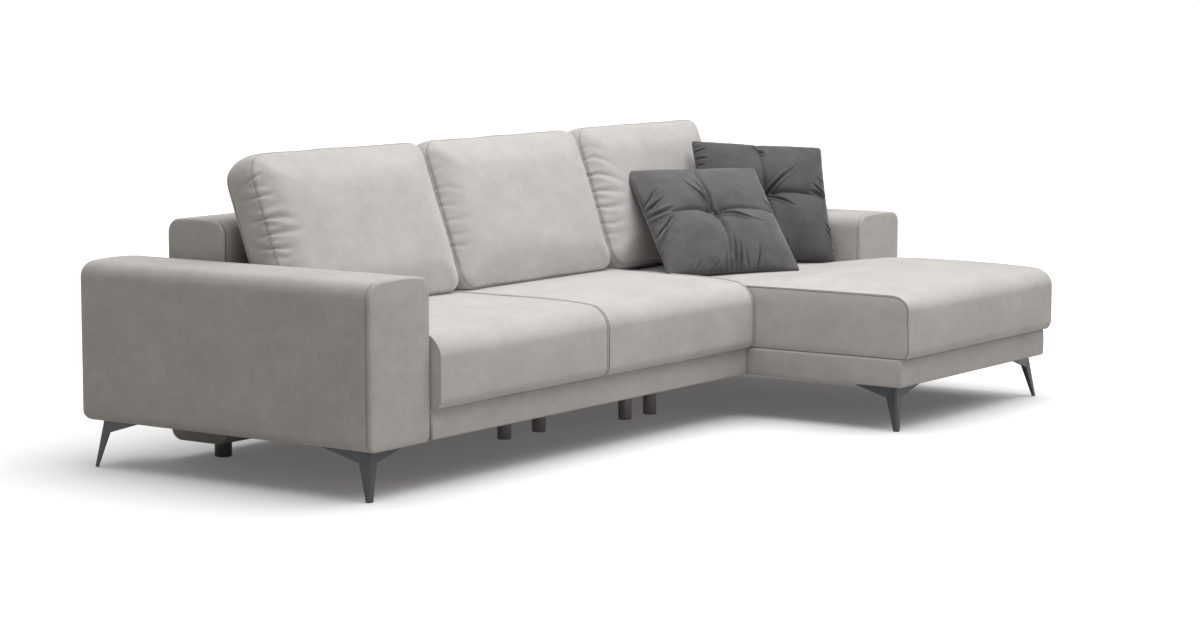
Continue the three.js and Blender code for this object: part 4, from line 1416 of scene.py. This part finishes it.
def pillow_height(s, t, face, half):
    """Height of one face: four lobes between the channels, and a tuft where these meet."""
    x, z = pillow_plan(s, t, half)
    rise = tuft_rise_share * half
    tuft = tuft_share * np.exp(-((x * x + (z - rise) ** 2) / tuft_reach ** 2))
    height = pillow_thickness / 2 * pillow_puff(s, t) * (1 - tuft)
    for away in from_channels(x, z, half):
        lobe = lobe_share * np.exp(-((away / lobe_reach) ** 2))
        channel = channel_share * np.exp(-away / channel_reach)
        height = np.where(face < 0, height * (1 - lobe - channel), height)
    return x, face * height, z


def pillow_creases(s, t, half, folds):
    """How far the sewn creases and the folds sink the front face."""
    x, z = pillow_plan(s, t, half)
    puff = pillow_puff(s, t)
    sunk = np.zeros(len(s))
    for away in from_channels(x, z, half):
        sunk += crease_share * pillow_thickness / 2 * puff * np.exp(-away / crease_reach)
    places = np.stack([x, z], axis=1)
    for start, end, depth in folds:
        start = np.array(start) * half
        end = np.array(end) * half
        folded = fold_depths(places, start, end, fold_gain * depth / 1000)
        sunk += folded * np.minimum(1, fold_edge_gain * puff)
    return sunk


def pillow_turn(name):
    tilt, roll, turn = (math.radians(angle) for angle in pillow_poses[name])
    turned = Matrix.Rotation(turn, 3, "Z") @ Matrix.Rotation(-tilt, 3, "X")
    return turned @ Matrix.Rotation(roll, 3, "Y")


def pillow_grid():
    """Each point's shares of the half side and its face, and the faces between the points."""
    cells = pillow_cells
    shares = [2 * step / cells - 1 for step in range(cells + 1)]
    lines = [math.copysign(abs(share) ** (1 / pillow_spread), share) for share in shares]
    numbers = {}
    places = []
    faces = []
    for face in (-1, 1):
        for row, t in enumerate(lines):
            for column, s in enumerate(lines):
                rim = row in (0, cells) or column in (0, cells)
                if face > 0 and rim:
                    numbers[face, row, column] = numbers[-1, row, column]
                    continue
                numbers[face, row, column] = len(places)
                places.append((s, t, face))
        for row in range(cells):
            for column in range(cells):
                ring = [(row, column), (row, column + 1), (row + 1, column + 1), (row + 1, column)]
                faces.append([numbers[face, r, c] for r, c in (ring if face < 0 else ring[::-1])])
    return np.array(places).T, faces


def make_scatter_cushion(name):
    """The plain form of a pillow, sewn along its rim, its channels and its tuft."""
    node = f"scatter_cushion_{name}"
    low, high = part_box(f"{node}_cover")
    half = pillow_sides[name] / 2
    (s, t, side), faces = pillow_grid()
    turned = pillow_turn(name)
    points = np.stack(pillow_height(s, t, side, half), axis=1)
    points = np.array([turned @ Vector(point) for point in points])
    middle = (points.min(axis=0) + points.max(axis=0)) / 2
    points += (np.array(low) + np.array(high)) / 2 - middle
    # The rear pillow takes the darker velvet, which is painted shade
    pile = velvet if name == "front" else painted_shade_velvet
    pillow = new_piece(f"{node}_pad", points, faces, node, "velvet", pile)
    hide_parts(f"{node}_cover", f"{node}_core")
    nearest = np.minimum(*from_channels(*pillow_plan(s, t, half), half))
    sewn = np.where((np.abs(s) == 1) | (np.abs(t) == 1), 1.0, 0)
    sewn = np.maximum(sewn, np.where((side < 0) & (nearest < sewn_reach), sewn_share, 0))
    sew(pillow, sewn)
    keep_values(pillow, s=s, t=t, side=side, slack=np.full(len(s), pillow_slack))
    return pillow


def finish_scatter_cushion(name, pillow):
    """Splits the stuffed form finely, creases it and adds the seam round its rim."""
    node = f"scatter_cushion_{name}"
    half = pillow_sides[name] / 2
    cells = pillow_cells
    split_smoothly(pillow)
    s, t, side = kept_values(pillow, "s", "t", "side")
    sunk = np.where(side < 0, pillow_creases(s, t, half, pillow_folds[name]), 0)
    x, z = pillow_plan(s, t, half)
    to_rim = half * np.minimum(1 - np.abs(s), 1 - np.abs(t))
    gathers = noise_at(np.stack([x, face_shift * side, z], axis=1), 1 / ripple_spacing, ripple_seed)
    sunk -= ripple * gathers * np.exp(-to_rim / ripple_reach)
    inwards = np.array(pillow_turn(name) @ Vector((0, 1, 0)))
    places = points_of(pillow) - (np.sign(side) * sunk)[:, None] * inwards
    set_points(pillow, places)
    rim = [(0, step) for step in range(cells)]
    rim += [(step, cells) for step in range(cells)]
    rim += [(cells, cells - step) for step in range(cells)]
    rim += [(cells - step, 0) for step in range(cells)]
    path = [Vector(places[row * (cells + 1) + column]) for row, column in rim]
    tube(f"{node}_seam", path, pillow_seam_radius, node, "velvet", pillow.data.materials[0])


# Layers of felt, webbing and dust cloth

layer_spacing = 0.040
layer_cut_width = 1e-6
layer_waves = {"felt": 0.0002, "webbing": 0.0002, "dust_cloth": 0.0005}
layer_wave_scale = 9
layer_wave_seed = 4


def make_layer(name, node, slot):
    """A soft layer in the plan of its solid, split finely and gently waved."""
    mesh = bmesh.new()
    mesh.from_mesh(frame["nodes"][node].data)
    bmesh.ops.remove_doubles(mesh, verts=mesh.verts, dist=same_place)
    low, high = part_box(node)
    for axis in (0, 1):
        direction = Vector((1 - axis, axis, 0))
        for place in stations_between(low[axis], high[axis], layer_spacing):
            parts = mesh.verts[:] + mesh.edges[:] + mesh.faces[:]
            bmesh.ops.bisect_plane(
                mesh, geom=parts, dist=layer_cut_width,
                plane_co=direction * place, plane_no=direction,
            )
    points = [vert.co.copy() for vert in mesh.verts]
    mesh.verts.index_update()
    faces = [[vert.index for vert in face.verts] for face in mesh.faces]
    mesh.free()
    flat = np.array([(x, y, 0) for x, y, _ in points])
    waves = layer_waves[slot] * noise_at(flat, layer_wave_scale, layer_wave_seed)
    points = [(x, y, z + wave) for (x, y, z), wave in zip(points, waves)]
    layer = new_piece(name, points, faces, base_body, slot)
    layer.data.polygons.foreach_set("use_smooth", [False] * len(layer.data.polygons))
    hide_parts(node)
    return layer


def stretch(layer, node, holder):
    """Reads the box of the layer's solid, and nothing more; the layer and the holder are not used."""
    low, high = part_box(node)


def make_layers():
    for name in sorted(frame["nodes"]):
        if name.endswith("_deck"):
            make_layer(f"{name}_pad", name, "felt")
        if "_webbing" in name:
            mat = make_layer(f"{name}_mat", name, "webbing")
            stretch(mat, name, f"{name.split('_webbing')[0]}_frame")
        if name.endswith("_dust_cover"):
            cloth = make_layer(f"{name}_cloth", name, "dust_cloth")
            stretch(cloth, name, f"{name.removesuffix('_dust_cover')}_frame")


# Feet

leg_foot_inset = 0.021
leg_top_inset = 0.042
leg_wing_inset = 0.026
leg_foot_width = 0.016
leg_lift = 0.0009
leg_notch_rise = 0.109
leg_notch_reach = 0.074
leg_wing_reach = 0.200
leg_sheet = 0.005
leg_edge = 0.0010
leg_edge_angle = math.radians(25)
leg_ridge = 0.006
# The points of a leg's outline that each of its flat parts joins
leg_faces = ((0, 1, 2, 4), (4, 2, 3), (5, 9, 7, 6), (9, 8, 7), (0, 4, 9, 5))
foot_sides = 48
foot_steps = 5
foot_middle_share = 0.3
foot_middle_rise = 0.0006
foot_rim = 0.003
foot_neck = 0.004
foot_neck_inset = 0.001
back_foot_share = 0.78
back_foot_chamfer = 0.005
support_foot_chamfer = 0.004


def leg_points(height):
    """Points of a leg's two folded sides, measured inwards from its module's corner."""
    def inset(z):
        return leg_foot_inset + (leg_top_inset - leg_foot_inset) * z / height

    run = [
        (leg_ridge, 0, leg_lift),
        (leg_foot_width, 0, leg_lift),
        (leg_notch_reach - inset(leg_notch_rise), 0, leg_notch_rise),
        (leg_wing_reach - leg_top_inset, leg_wing_inset - leg_top_inset, height),
        (leg_ridge, 0, height),
    ]
    first = [(inset(z) + along, inset(z) + through, z) for along, through, z in run]
    return first + [(y, x, z) for x, y, z in first]


def make_leg(node, corner, towards):
    """A folded sheet leg, whose module has this corner and runs towards these signs of X and Y."""
    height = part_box(node)[1].z
    mesh = bmesh.new()
    verts = [
        mesh.verts.new((corner[0] + towards[0] * x, corner[1] + towards[1] * y, z))
        for x, y, z in leg_points(height)
    ]
    for face in leg_faces:
        mesh.faces.new([verts[index] for index in face])
    bmesh.ops.remove_doubles(mesh, verts=mesh.verts, dist=same_place)
    bmesh.ops.recalc_face_normals(mesh, faces=mesh.faces)
    data = bpy.data.meshes.new(f"{node}_plate")
    mesh.to_mesh(data)
    mesh.free()
    leg = placed(f"{node}_plate", data)
    data.materials.append(leg_metal)
    thicken(leg, sum(face.normal.dot(Vector((*towards, 0))) for face in data.polygons))
    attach(leg, base_body)
    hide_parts(node)


def thicken(leg, facing):
    """Gives a leg's sheet its thickness on its inner side, and soft edges."""
    solidify = leg.modifiers.new("sheet", "SOLIDIFY")
    solidify.thickness = leg_sheet
    solidify.offset = 1 if facing > 0 else -1
    bevel = leg.modifiers.new("edges", "BEVEL")
    bevel.width = leg_edge
    bevel.segments = 2
    bevel.limit_method = "ANGLE"
    bevel.angle_limit = leg_edge_angle
    graph = bpy.context.evaluated_depsgraph_get()
    leg.data = bpy.data.meshes.new_from_object(leg.evaluated_get(graph))
    leg.modifiers.clear()


def make_legs():
    """A leg at each outer corner of the arms and the chaise."""
    left_low, left_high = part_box("left_arm_cover")
    right_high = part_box("right_arm_cover")[1]
    arm_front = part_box("left_arm_front_panel")[0].y
    chaise_low, chaise_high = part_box("chaise_base_cover")
    make_leg("leg_left_front", (left_low.x, arm_front), (1, 1))
    make_leg("leg_left_rear", (left_low.x, left_high.y), (1, -1))
    make_leg("leg_right_rear", (right_high.x, right_high.y), (-1, -1))
    make_leg("leg_chaise_left", (chaise_low.x, chaise_low.y), (1, 1))
    make_leg("leg_chaise_right", (chaise_high.x, chaise_low.y), (-1, 1))


def make_round_foot(node, chamfer, material, share=1):
    """A turned foot with a soft lower edge, at a share of its solid's width."""
    low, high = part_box(node)
    radius = share * (high.x - low.x) / 2
    middle = ((low.x + high.x) / 2, (low.y + high.y) / 2)
    inner = radius * foot_middle_share
    outline = [(inner, low.z + foot_middle_rise), (radius - chamfer - foot_rim, low.z)]
    outline += [(radius - inset, low.z + depth) for depth, inset in bend(chamfer, foot_steps)]
    outline += [(radius, high.z - foot_neck), (radius - foot_neck_inset, high.z), (inner, high.z)]
    rings = []
    for distance, z in outline:
        ring = []
        for step in range(foot_sides):
            angle = 2 * math.pi * step / foot_sides
            ring.append((middle[0] + distance * math.cos(angle), middle[1] + distance * math.sin(angle), z))
        rings.append(ring)
    points, faces = lofted(rings)
    foot = new_piece(f"{node}_body", points, faces, base_body, "foot_plastic", material)
    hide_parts(node)


def make_feet():
    for name in frame["nodes"]:
        if name.startswith("back_foot"):
            make_round_foot(name, back_foot_chamfer, foot_plastic, back_foot_share)
        if name.startswith("support_foot"):
            # The support feet take the pale plastic, which is painted light
            make_round_foot(name, support_foot_chamfer, painted_light_foot_plastic)


# The scene

floor_half = 30
floor_seen = (0.93, 0.93, 0.93)
floor_bounce = (0.48, 0.464, 0.448)
# The floor's own light for the camera: at which distances it grows, how far it grows, its colour
glow_reach = (1.5, 3.4)
floor_glow = (0.108, 0.6)
glow_stretch = (1, 1.2, 1)
glow_colour = (1, 0.97, 0.94)
ambient = 0.185
ambient_colour = (1, 0.97, 0.93)
key_from = (0.2, -0.17, 1.0)
key_softness = 84  # degrees
key_power = 1.8
panel_place = (0.25, -0.95, 3.3)
panel_size = (3.8, 2.8)
panel_power = 60


def make_camera():
    camera = placed("camera", bpy.data.cameras.new("camera"))
    camera.location = camera_place
    camera.rotation_euler = (math.radians(90 - camera_pitch), 0, math.radians(-camera_turn))
    camera.data.lens = camera_lens
    camera.data.clip_end = camera_reach
    bpy.context.scene.camera = camera


def seen_by(owner):
    """One for rays from the camera or from a glossy face, and nothing for the others."""
    rays = add_node(owner, "ShaderNodeLightPath")
    seen = add_node(owner, "ShaderNodeMath", operation="MAXIMUM")
    link(owner, rays.outputs["Is Camera Ray"], seen.inputs[0])
    link(owner, rays.outputs["Is Glossy Ray"], seen.inputs[1])
    return seen.outputs[0]


def make_floor_material():
    """Pale for the camera, with its own light further out, and darker for the light it throws back."""
    material = new_material("floor", (1, 1, 1), 1, Specular_IOR_Level=0)
    seen = seen_by(material)
    colour_from(material, blended(material, seen, 0, 1, floor_bounce, floor_seen))
    away = add_node(material, "ShaderNodeVectorMath", operation="LENGTH")
    link(material, place_of(material, glow_stretch), away.inputs[0])
    fading = add_node(material, "ShaderNodeMapRange")
    for socket, value in zip(("From Min", "From Max", "To Min", "To Max"), (*glow_reach, *floor_glow)):
        fading.inputs[socket].default_value = value
    link(material, away.outputs["Value"], fading.inputs["Value"])
    strength = add_node(material, "ShaderNodeMath", operation="MULTIPLY")
    link(material, seen, strength.inputs[0])
    link(material, fading.outputs["Result"], strength.inputs[1])
    shader = shader_of(material)
    shader.inputs["Emission Color"].default_value = (*glow_colour, 1)
    link(material, strength.outputs[0], shader.inputs["Emission Strength"])
    return material


def make_floor():
    """A pale floor that looks white to the camera and keeps the sofa's shadow."""
    corners = [(x * floor_half, y * floor_half, 0) for x, y in ((-1, -1), (1, -1), (1, 1), (-1, 1))]
    mesh = bpy.data.meshes.new("floor")
    mesh.from_pydata(corners, [], [(0, 1, 2, 3)])
    floor = placed("floor", mesh)
    mesh.materials.append(make_floor_material())


def make_world():
    """A surround that is white to the camera and gives a dim warm light."""
    world = bpy.data.worlds.new("studio")
    bpy.context.scene.world = world
    world.use_nodes = True
    seen = seen_by(world)
    level = add_node(world, "ShaderNodeMapRange", **{"To Min": ambient, "To Max": 1})
    tint = add_node(world, "ShaderNodeMix", data_type="RGBA", A=(*ambient_colour, 1), B=(1, 1, 1, 1))
    background = world.node_tree.nodes["Background"]
    link(world, seen, level.inputs["Value"])
    link(world, level.outputs["Result"], background.inputs["Strength"])
    link(world, seen, tint.inputs["Factor"])
    link(world, tint.outputs["Result"], background.inputs["Color"])


def make_lamps():
    key = bpy.data.lights.new("key", "SUN")
    key.angle = math.radians(key_softness)
    key.energy = key_power
    placed("key", key).rotation_euler = Vector(key_from).to_track_quat("Z", "Y").to_euler()
    panel = bpy.data.lights.new("panel", "AREA")
    panel.shape = "RECTANGLE"
    panel.size, panel.size_y = panel_size
    panel.energy = panel_power
    placed("panel", panel).location = panel_place


def dress_nodes():
    """Gives the solids that stay their finish: zinc for the bolts, and timber for the frames."""
    for name, node in frame["nodes"].items():
        finish = "zinc_steel" if "bolt" in name else "timber"
        for material_slot in node.material_slots:
            material_slot.material = slots[finish]


def make_loose_cushions():
    """Back and scatter cushions, stuffed together and then finished one by one."""
    below = ("seat_cushion_1_pad", "seat_cushion_2_pad", "chaise_cushion_pad")
    backs = [make_back_cushion(number) for number in (1, 2, 3)]
    scatters = {name: make_scatter_cushion(name) for name in ("front", "rear")}
    loose = [(cushion, back_spare_share) for cushion in backs]
    loose += [(pillow, pillow_spare_share) for pillow in scatters.values()]
    stuff(loose)
    for index, cushion in enumerate(backs):
        finish_back_cushion(index + 1, cushion, bpy.data.objects[below[index]])
    for name, pillow in scatters.items():
        finish_scatter_cushion(name, pillow)


bpy.context.scene.view_settings.view_transform = "Standard"
make_camera()
make_floor()
make_world()
make_lamps()
dress_nodes()
for side in ("left", "right"):
    make_arm_panel(side)
    make_arm_wrap(side)
    make_arm_seam(side)
make_back()
make_band("seat_rail_band", "seat_front_rail_cover", seat_rail_plan)
make_band("chaise_band", "chaise_base_cover", chaise_plan)
for index in (1, 2):
    make_seat_cushion(index)
make_chaise_cushion()
make_layers()
make_loose_cushions()
make_legs()
make_feet()
